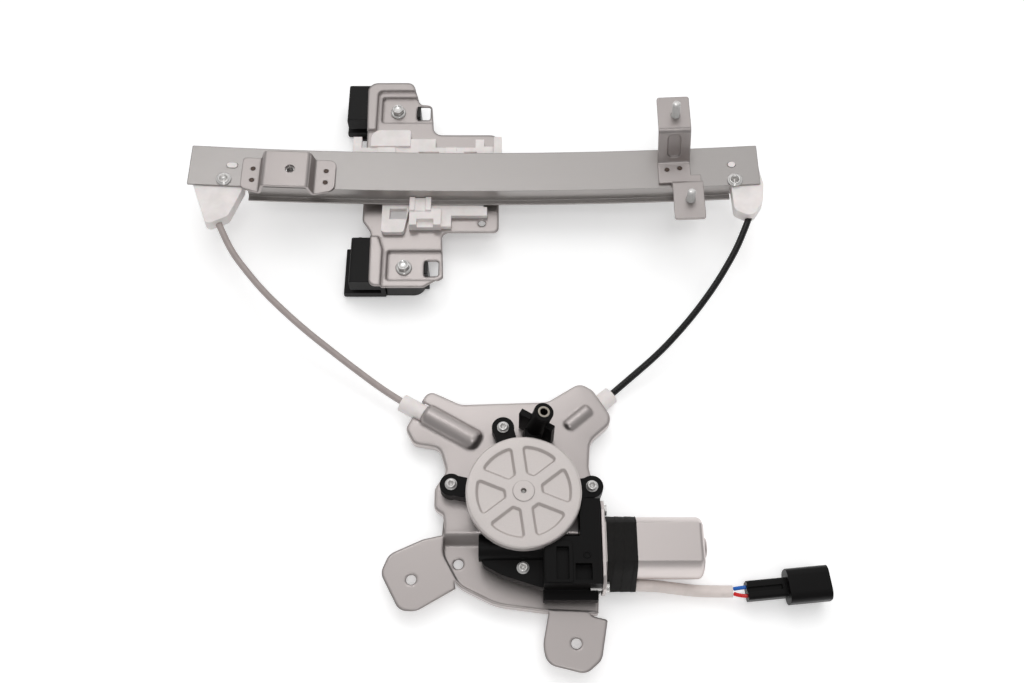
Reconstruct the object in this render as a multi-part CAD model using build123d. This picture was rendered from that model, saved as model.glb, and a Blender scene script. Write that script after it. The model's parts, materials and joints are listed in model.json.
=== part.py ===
from build123d import *
from math import atan2, cos, degrees, hypot, pi, radians, sin, sqrt, tan
import os

# Cable-drive window regulator: a bowed guide rail with a sliding glass carrier, two conduits,
# and a drum, worm gearbox and motor on a pressed mounting plate.
# Millimetres. +Z up. The origin is on the drum's axis, at the flat underside of the drum
# housing, on which the part rests. +X runs along the guide rail, +Y from the drum to the rail.

# ---------------------------------------------------------------- driving dimensions
# General
SHEET = 1.5              # steel sheet of the motor plate and the carrier plate
SEAT_GAP = 0.15          # between pieces that seat on each other
RUN_GAP = 0.3            # between pieces that slide past each other
BEARING_GAP = 0.05       # radial clearance of a running fit
BEND = 1.5               # inner radius of a bend in sheet
STUD_RADIUS = 3.0        # M6
HOLE_GAP = 0.3           # radial clearance of a screw or bolt in its hole

# Glass carrier and its two clamps, from the floor up
JAW_SHEET = 2.5          # back jaw
BACK_LEAF = 6.0          # back leaf of the glass grip
GLASS_SLOT = 5.0         # slot that takes the edge of the window glass
FRONT_LEAF = 9.5         # front leaf of the grip, up to the carrier plate
CARRIER_Z = JAW_SHEET + BACK_LEAF + GLASS_SLOT + FRONT_LEAF + SHEET    # upper side of the carrier plate
SLIDER_BASE = 4.2        # slider between carrier plate and rail
CARRIER_LEFT = -119.0    # left edge of the carrier plate under the rail
CARRIER_RIGHT = -17.5    # its right edge
UPPER_BOLT = (-97.0, 318.0)
LOWER_BOLT = (-86.8, 177.5)
UPPER_GRIP = (-41.0, -9.0)       # free end of the back leaf and lower side of each grip, from the bolt
LOWER_GRIP = (-45.0, -13.5)
GRIP_HIGH = 24.0         # upper side of a grip
GRIP_FRONT = -39.5       # free end of the front leaf
GRIP_END = -13.8         # closed end of the grip
GRIP_WEB = 3.2           # wall that joins the leaves
STEEL_EDGE = -24.5       # left edge of the carrier plate's wing, from the bolt
WING_RAISE = 2.5         # raised part of the wing, over the grip
PAD_DEPTH = 2.5          # recess round the clamp bolt
PAD_X = (-12.8, 11.5)
PAD_Y = (-11.5, 13.8)
HOOK_SLOT_X = (15.0, 25.4)
HOOK_SLOT_Y = (-7.0, 6.0)
CARRIER_HIGH = 294.6     # upper and lower edges of the carrier plate, right of its wings
CARRIER_LOW = 206.5
WING_LOW = -17.2         # lower edge of the lower wing, from its bolt
WING_RIGHT = 29.0
WING_HIGH = 25.5         # upper edge of the upper wing, from its bolt
PRESS_DRAFT = 25.0       # slope of pressed walls, degrees
CARRIER_HOLE = (-30.0, 214.5)
CARRIER_HOLE_RADIUS = 2.6
WINDOW_X = (-98.5, -86.0)        # window through slider and carrier plate
WINDOW_Y = (215.6, 224.6)
JAW_LEFT = -35.5
JAW_RIGHT = 15.1
JAW_LOW = -11.0
JAW_HIGH = 22.5
JAW_RIM = 1.8            # wall of the jaw's rim
RIM_TOP = 14.0
STAKE_RADIUS = 2.5
STAKES = [(-112.0, 270.0), (-36.0, 270.0), (-96.0, 208.0), (-36.0, 222.0)]
RIB_HALF = 7.0           # slider's rib inside the rail
RIB_TOP = -4.0           # its top, from the rail's face
RIB_ENDS = (-84.0, 5.0)
NIPPLE_RADIUS = 2.5
NIPPLE_LENGTH = 9.0
NIPPLES = (-76.0, -12.0)
BOLT_HEAD = 4.2          # hex of the clamp bolt, height
BOLT_HEX = 8.0           # across flats
BOLT_WASHER = 6.0        # radius of the washer face
WASHER_THICK = 1.3

# Guide rail: a hat section bowed about an axis along Y, far above the rail
RAIL_RADIUS = 2300.0
RAIL_WIDTH = 34.0        # flat face
RAIL_DEPTH = 13.0        # face to underside of the flanges
RAIL_FLANGE = 4.0
RAIL_SHEET = 1.2
RAIL_MID_X = -35.0
RAIL_Y = 248.2
RAIL_FACE_Z = CARRIER_Z + SLIDER_BASE + RUN_GAP + RAIL_DEPTH
RAIL_START = -210.0      # ends of the face, along the rail from its middle
RAIL_END = 209.0
WALL_START = -167.0      # ends of the side walls
WALL_END = 187.5
RAIL_AXIS = Axis((RAIL_MID_X, 0, RAIL_FACE_Z + RAIL_RADIUS), (0, -1, 0))
RAIL_SECTION = Plane(origin=(RAIL_MID_X, RAIL_Y, RAIL_FACE_Z), x_dir=(0, 1, 0), z_dir=(1, 0, 0))
CABLE_RADIUS = 0.75
CABLE_DEPTH = 6.5        # cable below the rail's face
END_CORNER = 0.8

# Brackets on the rail
BRACKET_SHEET = 2.0
BRACKET_SEAT = 0.3       # foot above the face at the middle of the bracket, for the bow
LEFT_BRACKET = -138.0    # middle of each bracket along the rail
RIGHT_BRACKET = 147.3
LEFT_BRACKET_RISE = 12.0
LEFT_BRACKET_ENDS = (-33.5, 35.0)
LEFT_BRACKET_WIDTH = 30.0
LEFT_BRACKET_Y = -8.0
LEFT_WELDS = [(x, y) for x in (-25.5, 28.0) for y in (-12.5, -2.5)]
RIGHT_WELDS = [(-5.2, -2.5), (4.1, -1.6)]
WELD_RADIUS = 1.8
NUT_X = 3.0
NUT_BORE = 2.5           # M6 thread, minor radius
NUT_HEIGHT = 5.0
NUT_HEX = 10.0
RIGHT_BRACKET_WIDTH = 23.5
RIGHT_TAB_WIDTH = 22.0
RIGHT_TAB_X = 8.0
RIGHT_BEND = 3.0
BEAD = (10.0, 19.0)      # width and length of the groove pressed into the right bracket's wall
BEAD_DEPTH = 1.8
UPPER_RISE = 27.3        # stud plates above the rail's face
LOWER_RISE = 11.3
UPPER_STUD = (1.2, 27.9)
LOWER_STUD = (9.1, -34.7)
UPPER_STUD_LENGTH = 13.0
LOWER_STUD_LENGTH = 10.0
STUD_HEAD = 5.5
STUD_COLLAR = 3.4        # pressed into the plate
STUD_HEAD_THICK = 2.0

# Cable guides, rivets and conduits
LEFT_GUIDE = -187.0      # place along the rail
RIGHT_GUIDE = 201.0
GUIDE_THICK = 10.5
RIVET_RADIUS = 2.4
LEFT_RIVET = (2.8, -11.4)      # from the guide's place
RIGHT_RIVET = (-10.1, -12.7)
LEFT_PEG = (7.7, 1.1, 1.6)     # place and half the straight length of each guide's peg
RIGHT_PEG = (-11.4, 1.1, 0.4)
PEG_RADIUS = 2.3
CONDUIT_RADIUS = 2.4
SOCKET_SHARE = 0.52      # share of the conduit's first run that lies in the guide's socket
SOCKET_WALL = 2.1
LEFT_ROUTE = [(-226.5, 217.5, 42.2), (-220.5, 203.0, 42.0), (-209.0, 180.5, 39.0), (-186.2, 152.9, 34.0),
              (-157.7, 127.4, 27.0), (-125.0, 103.2, 19.0), (-98.5, 84.2, 14.0), (-77.9, 71.0, 13.0)]
RIGHT_ROUTE = [(169.5, 220.0, 42.4), (163.8, 205.0, 42.0), (154.5, 184.0, 38.0), (139.0, 158.8, 32.0),
               (119.5, 133.8, 25.0), (97.5, 111.2, 17.5), (76.0, 94.3, 10.0), (57.0, 78.1, 7.5)]

# Motor plate and the drum beneath it
PLATE_Z = 16.0           # upper side of the plateau
PAN_Z = 8.0              # upper side of the lowered pan
LEG_Z = 14.5             # upper side of the two legs
RIM_Z = 9.5              # lower edge of the plateau's rim
STEP_TOP = -20.0         # foot and top of the slope between plateau and pan
STEP_FOOT = -26.5
PLATE_BORE = 12.0
PLATE_EAR = 7.4
LEG_HOLE = 3.3
LEFT_LEG_HOLE = (-72.9, -50.2)
RIGHT_LEG_HOLE = (33.2, -90.8)
PAN_HOLE = (-42.8, -38.5)
TUNNEL_RADIUS = 8.5      # half-tube over the left ferrule
TUNNEL_ROUND = 5.0       # its rounded end
HUMP_RADIUS = 5.6        # low hump over the right cable
HUMP_LIFT = 5.4
DRUM_RADIUS = 22.5
DRUM_WIDTH = 8.4
DRUM_FLANGE = 1.7        # flange of the drum beyond its cable groove
DRUM_LOW = 2.4
DRUM_LEAD = 9.5          # bare stretch between the drum and the start of each cable span
SPIGOT_RADIUS = 2.8
HOUSING_FLOOR = 1.8
HOUSING_WALL = 2.0
HOUSING_RADIUS = DRUM_RADIUS + DRUM_FLANGE + 2 * RUN_GAP + HOUSING_WALL
SHAFT_RADIUS = 5.0
LEFT_WAY = -30.0         # direction of each cable span, degrees
RIGHT_WAY = 220.4
LEFT_SIDE = -1           # side of the drum on which each span leaves it
RIGHT_SIDE = 1
LEFT_FERRULE_Z = 13.0
RIGHT_FERRULE_Z = 7.5
FERRULE_RADIUS = 6.3
LEFT_FERRULE = (85.0, 109.8)     # near and far end of each ferrule, from the tangent point
RIGHT_FERRULE = (74.0, 100.7)
FERRULE_HEAD = 18.0
LEFT_GROOVE_Z = 8.6
RIGHT_GROOVE_Z = 4.6
TUNNEL = (47.5, 93.0)            # ends of the half-tube over the left ferrule
HUMP = (58.0, 80.0)              # ends of the low hump over the right cable

# Gearbox
WHEEL_TEETH = 73
TOOTH_MODULE = 0.74
WORM_PITCH_RADIUS = 5.0
WHEEL_RADIUS = WHEEL_TEETH * TOOTH_MODULE / 2
MOTOR_Y = -(WHEEL_RADIUS + WORM_PITCH_RADIUS)
MOTOR_Z = 24.0
WHEEL_WIDTH = 10.0
NOSE_RADIUS = 1.7        # tip of the output shaft
SHAFT_TOP = 38.0
WORM_TUBE_RADIUS = 8.8
WORM_BORE = 6.6
WORM_HALF = 17.0
WORM_ROOT = 4.0
GEARCASE_RADIUS = 33.0
GEARCASE_WALL = 3.0
GEARCASE_TOP = 40.0
COVER_RADIUS = 37.5
COVER_Z = 44.0
COVER_SHEET = 1.2
COVER_SKIRT = 7.5
POCKET_DEPTH = 2.2
POCKET_DRAFT = 35.0      # slope of the pockets' walls, degrees
POCKET_REACH = (11.5, 31.0)      # inner and outer radius of the pockets
SPOKE_WIDTH = 6.5
HUB_RADIUS = 7.0
GEARCASE_LIP = COVER_RADIUS - COVER_SHEET - SEAT_GAP
EAR_Z = 26.0
EAR_RADIUS = 7.6
SCREWS = [(-47.9, 10.4), (-13.6, 50.8), (45.4, 9.0), (-0.5, -45.5)]
SCREW_RADIUS = 2.4
SCREW_TIP = 9.0          # shank below the upper side of the plate
BLOCK_TOP = 38.0
BLOCK_LEFT = 12.5
BLOCK_RIGHT = 49.5
GATE_MARK = (40.0, -40.0)        # small ring on the block
BOSS_FOOT = (6.2, 49.0, PLATE_Z)
BOSS_TOP = (13.4, 51.5, 52.0)
BOSS_RADIUS = 6.6
INSERT_RADIUS = 4.0
INSERT_BORE = 2.6

# Motor
CAN_RADIUS = 19.75
CAN_FLAT = 15.5          # axis to each flat
CAN_WALL = 1.5
CAN_START = 52.0
CAN_END = 115.0
CAN_POCKET = 7.0         # bearing pocket at the can's end
CAN_POCKET_DEPTH = 2.8
FLANGE_THICK = 2.2
FLANGE_SCREW = 25.3      # motor screws, from the motor's axis
FLANGE_HEAD = 3.6
MOTOR_SHAFT = 2.5
CORE_RADIUS = 13.0
TAPE_START = CAN_START + 0.6
TAPE_END = 72.0
TAPE_THICK = 0.7

# Lead and plug
SLEEVE_RADIUS = 3.9
WIRE_RADIUS = 1.25
SLEEVE_ROUTE = [(64.0, -54.0, 15.0), (82.0, -54.0, 15.0), (99.0, -54.9, 9.4), (117.0, -56.4, 7.4),
                (135.6, -56.9, 10.4)]
BLUE_ROUTE = [(136.3, -55.3, 10.6), (140.2, -55.2, 13.4), (145.9, -54.6, 13.4)]
RED_ROUTE = [(136.3, -58.5, 10.6), (140.8, -60.9, 13.4), (146.5, -60.4, 13.4)]
PLUG_PLACE = (143.7, -57.7, 0.0)
PLUG_TURN = 5.5
PLUG_NECK = (27.8, 12.5, 9.5)
PLUG_BODY = (27.1, 22.5, 16.2)
PLUG_WALL = 1.8
SOCKET_DEPTH = 18.0
WIRE_PITCH = 5.8
BLADE_PITCH = 5.2
LATCH_HEIGHT = 7.3
LATCH_WIDTH = 12.0
PLUG_Z = LATCH_HEIGHT + PLUG_BODY[2] / 2     # middle of the shroud and of the neck
NECK_Z = 13.4


# ---------------------------------------------------------------- shared shapes
def outline(*corners):
    """Flat face from corners (x, y, corner radius)."""
    points = [(x, y) for x, y, _ in corners]
    return make_face(FilletPolyline(*points, radius=[radius for _, _, radius in corners], close=True))


def slab(face, low, high):
    """A flat face made solid between two heights."""
    return extrude(Pos(0, 0, low) * face, high - low, dir=(0, 0, 1))


def block(x, y, z):
    """Box between the low and high values in x, y and z."""
    middle = Pos((x[0] + x[1]) / 2, (y[0] + y[1]) / 2, (z[0] + z[1]) / 2)
    return middle * Box(x[1] - x[0], y[1] - y[0], z[1] - z[0])


def drill(place, radius, low, high):
    """Upright cylinder at a place (x, y)."""
    return Pos(place[0], place[1], (low + high) / 2) * Cylinder(radius, high - low)


def rod(start, end, radius):
    """Cylinder from one point to another."""
    way = Vector(*end) - Vector(*start)
    return extrude(Plane(origin=start, z_dir=way) * Circle(radius), way.length)


def hexagon(place, across, low, high):
    return slab(Pos(place[0], place[1]) * RegularPolygon(across / sqrt(3), 6), low, high)


def turned(*points):
    """Solid of revolution about Z from its (radius, height) points."""
    return revolve(Plane.XZ * make_face(Polyline(*points, close=True)), Axis.Z)


def strip(points, sheet, bend):
    """Section of a bent sheet: the points run along one side, its thickness lies to their right."""
    legs = [(Vector(*b) - Vector(*a)).normalized() for a, b in zip(points, points[1:])]
    rights = [Vector(leg.Y, -leg.X) for leg in legs]
    under = []
    for place, point in enumerate(points):
        before = rights[max(place - 1, 0)]
        after = rights[min(place, len(legs) - 1)]
        mitre = (before + after) * (sheet / (1 + before.dot(after)))
        under.append((point[0] + mitre.X, point[1] + mitre.Y))
    left_turns = [a.cross(b).Z > 0 for a, b in zip(legs, legs[1:])]
    near = [0] + [bend if left else bend + sheet for left in left_turns] + [0]
    far = [0] + [bend + sheet if left else bend for left in left_turns] + [0]
    return make_face(FilletPolyline(*points, *reversed(under), radius=near + far[::-1], close=True))


def route(points):
    """Straight runs joined by the largest arcs that fit them."""
    points = [Vector(*point) for point in points]
    runs = [b - a for a, b in zip(points, points[1:])]
    radii = []
    for before, after in zip(runs, runs[1:]):
        turn = radians(before.get_angle(after))
        radii.append(0.45 * min(before.length, after.length) / tan(turn / 2))
    return FilletPolyline(*points, radius=radii)


def tube(points, radius):
    path = route(points)
    return sweep(Plane(origin=path @ 0, z_dir=path % 0) * Circle(radius), path=path)


def cord(points, radius):
    solid = tube(points, radius)
    path = route(points)
    radii = [round(edge.radius, 1) for edge in path.edges().filter_by(GeomType.CIRCLE)]
    share = solid.volume / (pi * radius ** 2 * path.length)
    print("cord of length", round(path.length, 1), "with radii", radii, "and volume share", round(share, 4))
    return solid


def along_rail(face, start, end):
    """A section (across, up from the rail's face) carried along the rail's curve."""
    turned_face = (RAIL_SECTION * face).rotate(RAIL_AXIS, degrees(start / RAIL_RADIUS))
    return revolve(turned_face, RAIL_AXIS, degrees((end - start) / RAIL_RADIUS))


def band(across, up, start, end):
    """Curved bar along the rail between low and high values across and up."""
    middle = Pos((across[0] + across[1]) / 2, (up[0] + up[1]) / 2)
    return along_rail(middle * Rectangle(across[1] - across[0], up[1] - up[0]), start, end)


def on_rail(shape, place):
    """A shape made about (0, 0, 0) set on the rail's face, square to it, at a place along it."""
    return (Pos(RAIL_MID_X, RAIL_Y, RAIL_FACE_Z) * shape).rotate(RAIL_AXIS, degrees(place / RAIL_RADIUS))


# ---------------------------------------------------------------- guide rail
def hat_section(grow=0.0):
    """The rail's hat section, grown all round by a clearance."""
    wall = RAIL_WIDTH / 2
    edge = wall + RAIL_FLANGE + grow
    inner = wall - RAIL_SHEET - grow
    top = grow
    under = -RAIL_SHEET - grow
    low = -RAIL_DEPTH - grow
    lip = -RAIL_DEPTH + RAIL_SHEET + grow
    half = [(inner, under), (inner, low), (edge, low), (edge, lip), (wall + grow, lip), (wall + grow, top)]
    other = [(-across, up) for across, up in reversed(half)]
    return make_face(Polyline(*half, *other, close=True))


def peg_face(peg, grow=0.0):
    x, y, half = peg
    return Pos(x, y) * SlotCenterToCenter(2 * half, 2 * (PEG_RADIUS + grow))


def guide_rail():
    face = band((-RAIL_WIDTH / 2, RAIL_WIDTH / 2), (-RAIL_SHEET, 0), RAIL_START, RAIL_END)
    corners = face.edges().filter_by(lambda edge: abs(edge.length - RAIL_SHEET) < 0.01)
    rail = fillet(corners, END_CORNER) + along_rail(hat_section(), WALL_START, WALL_END)
    for place, rivet, peg in ((LEFT_GUIDE, LEFT_RIVET, LEFT_PEG), (RIGHT_GUIDE, RIGHT_RIVET, RIGHT_PEG)):
        rail -= on_rail(drill(rivet, RIVET_RADIUS + BEARING_GAP, -5, 5), place)
        rail -= on_rail(slab(peg_face(peg, SEAT_GAP), -5, 5), place)
    return rail


# ---------------------------------------------------------------- brackets
def left_bracket():
    """Arched bracket on the rail, with a hole at its top and the lower edge of each foot cut aslant."""
    rise = LEFT_BRACKET_RISE
    left, right = LEFT_BRACKET_ENDS
    foot = BRACKET_SEAT + BRACKET_SHEET
    side = [(left, foot), (-20, foot), (-16.8, rise), (16.8, rise), (20, foot), (right, foot)]
    high = LEFT_BRACKET_Y + LEFT_BRACKET_WIDTH / 2
    low = LEFT_BRACKET_Y - LEFT_BRACKET_WIDTH / 2
    plan = outline((left, high, 3), (right, high, 5), (right, low + 4, 6), (20, low, 1), (-20, low, 1),
                   (left, low + 4, 5))
    shape = extrude(Plane.XZ * strip(side, BRACKET_SHEET, BEND), 2 * LEFT_BRACKET_WIDTH, both=True)
    shape &= slab(plan, 0, 2 * rise)
    shape -= drill((NUT_X, LEFT_BRACKET_Y), STUD_RADIUS + HOLE_GAP, rise - 5, rise + 5)
    for place in LEFT_WELDS:
        shape -= drill(place, WELD_RADIUS, foot - 0.5, foot + 1)
    return on_rail(shape, LEFT_BRACKET)


def left_bracket_nut():
    top = LEFT_BRACKET_RISE - BRACKET_SHEET
    nut = hexagon((NUT_X, LEFT_BRACKET_Y), NUT_HEX, top - NUT_HEIGHT, top)
    nut -= drill((NUT_X, LEFT_BRACKET_Y), NUT_BORE, top - 10, top + 5)
    return on_rail(nut, LEFT_BRACKET)


def right_bracket():
    """Stepped bracket with a plate for each stud, and a groove pressed into its tall wall."""
    foot = BRACKET_SEAT + BRACKET_SHEET
    wall = Vector(0, 3.4, foot), Vector(0, 14.6, UPPER_RISE)
    high, low = 44, -51
    side = [(-14, foot), (wall[0].Y, wall[0].Z), (wall[1].Y, wall[1].Z), (high, UPPER_RISE)]
    shape = extrude(Plane.YZ * strip(side, BRACKET_SHEET, RIGHT_BEND), RIGHT_BRACKET_WIDTH / 2, both=True)
    tab_side = [(low, LOWER_RISE), (-19, LOWER_RISE), (-15.5, foot), (-8, foot)]
    tab = extrude(Plane.YZ * strip(tab_side, BRACKET_SHEET, BEND), RIGHT_TAB_WIDTH / 2, both=True)
    shape += Pos(RIGHT_TAB_X, 0, 0) * tab
    uprights = shape.edges().filter_by(Axis.Z)
    shape = fillet(uprights.filter_by(lambda edge: not low + 0.1 < edge.center().Y < high - 0.1), 2)
    up = (wall[1] - wall[0]).normalized()
    front = Plane(origin=(wall[0] + wall[1]) / 2, x_dir=(1, 0, 0), z_dir=(0, up.Z, -up.Y))
    width, length = BEAD
    back = RectangleRounded(width + 2 * BRACKET_SHEET, length + 2 * BRACKET_SHEET, 5)
    shape += extrude(front * back, BEAD_DEPTH + BRACKET_SHEET, taper=PRESS_DRAFT)
    shape -= extrude(front * RectangleRounded(width, length, 3.5), BEAD_DEPTH, taper=PRESS_DRAFT)
    shape -= drill(UPPER_STUD, STUD_COLLAR + BEARING_GAP, UPPER_RISE - 5, UPPER_RISE + 5)
    shape -= drill(LOWER_STUD, STUD_COLLAR + BEARING_GAP, LOWER_RISE - 5, LOWER_RISE + 5)
    for place in RIGHT_WELDS:
        shape -= drill(place, WELD_RADIUS, foot - 0.5, foot + 1)
    return on_rail(shape, RIGHT_BRACKET)


def bracket_studs():
    studs = []
    for place, rise, length in ((UPPER_STUD, UPPER_RISE, UPPER_STUD_LENGTH),
                                (LOWER_STUD, LOWER_RISE, LOWER_STUD_LENGTH)):
        under = rise - BRACKET_SHEET
        stud = drill(place, STUD_HEAD, under - STUD_HEAD_THICK, under)
        stud += drill(place, STUD_COLLAR, under, rise) + drill(place, STUD_RADIUS, rise, rise + length)
        studs.append(on_rail(stud, RIGHT_BRACKET))
    return Compound(children=studs)


# ---------------------------------------------------------------- cable guides, rivets, conduits
def guide(face, rivet, peg, place, conduit):
    """Plastic guide under the end of the rail's face, with the socket that holds the conduit."""
    top = -RAIL_SHEET - SEAT_GAP
    body = slab(face, top - GUIDE_THICK, top)
    body = chamfer(body.faces().sort_by(Axis.Z)[0].edges(), 0.8)
    body += slab(peg_face(peg), top - 1, 0.4)
    body -= drill(rivet, RIVET_RADIUS + BEARING_GAP, -30, 5)
    body = on_rail(body, place)
    inner = Vector(*conduit[0])
    mouth = inner + (Vector(*conduit[1]) - inner) * SOCKET_SHARE
    body += rod(inner, mouth, CONDUIT_RADIUS + SOCKET_WALL)
    body -= along_rail(hat_section(SEAT_GAP), WALL_START, WALL_END)
    return body - tube(conduit[:4], CONDUIT_RADIUS + BEARING_GAP)


def left_cable_guide():
    face = outline((-20.5, 13, 3), (17, 13, 3), (17.5, -17, 4), (9, -42, 5), (-6, -50, 4), (-19.5, -15, 6))
    body = guide(face, LEFT_RIVET, LEFT_PEG, LEFT_GUIDE, LEFT_ROUTE)
    return body - band((-2, 2), (-30, -CABLE_DEPTH + 1.2), LEFT_GUIDE + 8, WALL_START + 30)


def right_cable_guide():
    face = outline((-14, 13, 3), (5.5, 13, 3), (10.4, -16, 3), (8.5, -31, 6), (0, -44, 6), (-12.3, -37, 5))
    body = guide(face, RIGHT_RIVET, RIGHT_PEG, RIGHT_GUIDE, RIGHT_ROUTE)
    return body - band((-2, 2), (-30, -CABLE_DEPTH + 1.2), WALL_END - 30, RIGHT_GUIDE - 6)


def guide_rivets():
    """A closed rivet at the left end and a hollow one at the right."""
    low = -RAIL_SHEET - SEAT_GAP - GUIDE_THICK - SEAT_GAP
    top = SEAT_GAP
    tail = [(0, low - 1.6), (4, low - 1.2), (4, low), (RIVET_RADIUS, low), (RIVET_RADIUS, top)]
    closed = turned(*tail, (5, top), (5, top + 0.8), (3.9, top + 1.6), (0, top + 1.7))
    hollow = turned(*tail, (5, top), (5, top + 0.9), (4.1, top + 1.5), (2.3, top + 1.2), (1.5, top - 2.5),
                    (0, top - 3))
    return Compound(children=[on_rail(Pos(*LEFT_RIVET) * closed, LEFT_GUIDE),
                              on_rail(Pos(*RIGHT_RIVET) * hollow, RIGHT_GUIDE)])


def span(way, side, z):
    """Tangent point on the drum of a cable that comes in at an angle, and the direction out along it."""
    angle = radians(way)
    out = Vector(-cos(angle), -sin(angle), 0)
    radius = DRUM_RADIUS
    foot = Vector(-out.Y * side, out.X * side, 0) * radius
    return foot + Vector(0, 0, z), out


def ferrule_axis(way, side, z, distance):
    """Point on a cable span at a distance from the drum's tangent point."""
    foot, out = span(way, side, z)
    return foot + out * distance


def left_axis(distance):
    return ferrule_axis(LEFT_WAY, LEFT_SIDE, LEFT_FERRULE_Z, distance)


def right_axis(distance):
    return ferrule_axis(RIGHT_WAY, RIGHT_SIDE, RIGHT_FERRULE_Z, distance)


def ferrule(axis, ends, conduit):
    """Conduit end: a stepped plastic sleeve bored for the cable, with the conduit pushed into it."""
    near, far = ends
    step = far - FERRULE_HEAD
    body = rod(axis(step), axis(far), FERRULE_RADIUS) + rod(axis(near), axis(step), FERRULE_RADIUS - 1.6)
    body -= rod(axis(near - 1), axis(far - 4), CABLE_RADIUS + 0.4)
    end = Vector(*conduit[-1])
    start = end + (Vector(*conduit[-2]) - end) * 0.5
    return body - rod(start, end, CONDUIT_RADIUS + BEARING_GAP)


def left_ferrule():
    return ferrule(left_axis, LEFT_FERRULE, LEFT_ROUTE)


def right_ferrule():
    return ferrule(right_axis, RIGHT_FERRULE, RIGHT_ROUTE)


def tension_spring():
    """Coil spring behind the left ferrule, as a sleeve of its outer and inner diameter."""
    start, end = left_axis(TUNNEL[0] + TUNNEL_ROUND + SEAT_GAP), left_axis(LEFT_FERRULE[0] - SEAT_GAP)
    return rod(start, end, FERRULE_RADIUS - 0.4) - rod(start, end, FERRULE_RADIUS - 1.9)


def drive_cable():
    """The cable's open stretches: along the rail, and from each ferrule to the drum."""
    run = along_rail(Pos(0, -CABLE_DEPTH) * Circle(CABLE_RADIUS), LEFT_GUIDE + 12, RIGHT_GUIDE - 10)
    spans = [run]
    for way, side, groove, axis, ends in ((LEFT_WAY, LEFT_SIDE, LEFT_GROOVE_Z, left_axis, LEFT_FERRULE),
                                          (RIGHT_WAY, RIGHT_SIDE, RIGHT_GROOVE_Z, right_axis, RIGHT_FERRULE)):
        foot, out = span(way, side, groove)
        inside = axis(ends[0] + 6)
        way_out = (inside - foot).normalized()
        spans.append(rod(foot + way_out * DRUM_LEAD, inside, CABLE_RADIUS))
    return Compound(children=spans)


# ---------------------------------------------------------------- motor plate
def plateau_face():
    return outline((-66, 83, 6), (-43, 72, 14), (17, 74, 14), (40, 88.5, 8), (49, 83, 8), (63, 60, 9),
                   (46, 45, 12), (44.5, 26, 8), (49.3, 4, 8), (49.3, STEP_TOP, 0.5), (-52, STEP_TOP, 0.5),
                   (-53.5, -7, 2), (-59.5, -3, 5), (-59.5, 11, 8), (-52, 23, 7), (-57, 40, 8), (-75, 43, 6),
                   (-81, 54, 6)) + Pos(*SCREWS[2]) * Circle(PLATE_EAR)


def pan_face():
    return outline((-53, -11, 0), (-54.5, -33, 14), (-43, -54, 16), (-18, -66.5, 40), (12, -70.5, 40),
                   (48, -72, 1.5), (49.5, -50, 1), (49.5, -11, 0))


def blister(start, end, radius, rounding):
    """Rod whose ends are rounded off."""
    solid = rod(start, end, radius)
    return fillet(solid.edges().filter_by(GeomType.CIRCLE), rounding)


def motor_plate():
    """Pressed plate: a plateau with a turned-down rim, a lowered pan with a turned-up wall, and two legs."""
    plateau = slab(plateau_face(), RIM_Z, PLATE_Z)
    plateau = fillet(plateau.faces().sort_by(Axis.Z)[-1].edges(), BEND)
    plateau -= slab(offset(plateau_face(), -SHEET), RIM_Z - 1, PLATE_Z - SHEET)
    plateau -= block((-60, 60), (STEP_TOP - 1, STEP_TOP + 2.5), (RIM_Z - 1, PLATE_Z - SHEET))
    inner = slab(offset(pan_face(), -SHEET), PAN_Z, PLATE_Z)
    pan = slab(pan_face(), PAN_Z - SHEET, LEG_Z) - inner
    pan -= block((-51.4, 60), (STEP_FOOT, 0), (0, PLATE_Z))
    pan -= block((46.5, 60), (-71, 0), (PAN_Z, PLATE_Z))
    left_leg = slab(outline((-50, -20, 0), (-66, -23.5, 14), (-88, -33.5, 10), (-93, -46, 9), (-80, -70, 8),
                            (-69, -70.5, 12), (-44, -56, 0)), LEG_Z - SHEET, LEG_Z)
    right_leg = slab(outline((16.5, -68, 0), (12, -92, 20), (14.5, -103.5, 9), (39, -109.5, 9), (49, -101, 9),
                             (53.5, -76, 1.5), (45, -74, 6), (37, -68, 0)), LEG_Z - SHEET, LEG_Z)
    step = [(STEP_FOOT - 3, PAN_Z), (STEP_FOOT, PAN_Z), (STEP_TOP, PLATE_Z), (STEP_TOP + 3, PLATE_Z)]
    slope = Pos(-1.5, 0, 0) * extrude(Plane.YZ * strip(step, SHEET, BEND), 50.8, both=True)
    plate = plateau + pan + slope + (left_leg + right_leg - inner)
    below = block((-120, 120), (0, 120), (0, PLATE_Z - SHEET))
    rise = Vector(0, 0, HUMP_LIFT)
    near, far = right_axis(HUMP[0]) + rise, right_axis(HUMP[1]) + rise
    inward = right_axis(SHEET) - right_axis(0)
    plate += blister(left_axis(TUNNEL[0]), left_axis(TUNNEL[1]), TUNNEL_RADIUS, TUNNEL_ROUND) - below
    plate += blister(near, far, HUMP_RADIUS, 2.5) - below
    bore = TUNNEL_RADIUS - SHEET
    plate -= blister(left_axis(TUNNEL[0] + SHEET), left_axis(130), bore, TUNNEL_ROUND - SHEET)
    plate -= blister(near + inward, far - inward, HUMP_RADIUS - SHEET, 1)
    plate -= rod(right_axis(66), right_axis(120), FERRULE_RADIUS + RUN_GAP)
    plate -= drill((0, 0), PLATE_BORE, 0, 30)
    plate -= drill((0, 0), HOUSING_RADIUS + SEAT_GAP, 0, PLATE_Z - SHEET)
    plate += drill(SCREWS[3], 4.6, PAN_Z - SHEET - 3, PAN_Z - SHEET)
    for place in SCREWS:
        plate -= drill(place, SCREW_RADIUS + HOLE_GAP, 0, 30)
    for place in (LEFT_LEG_HOLE, RIGHT_LEG_HOLE, PAN_HOLE):
        plate -= drill(place, LEG_HOLE, 0, 30)
    return plate


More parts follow.
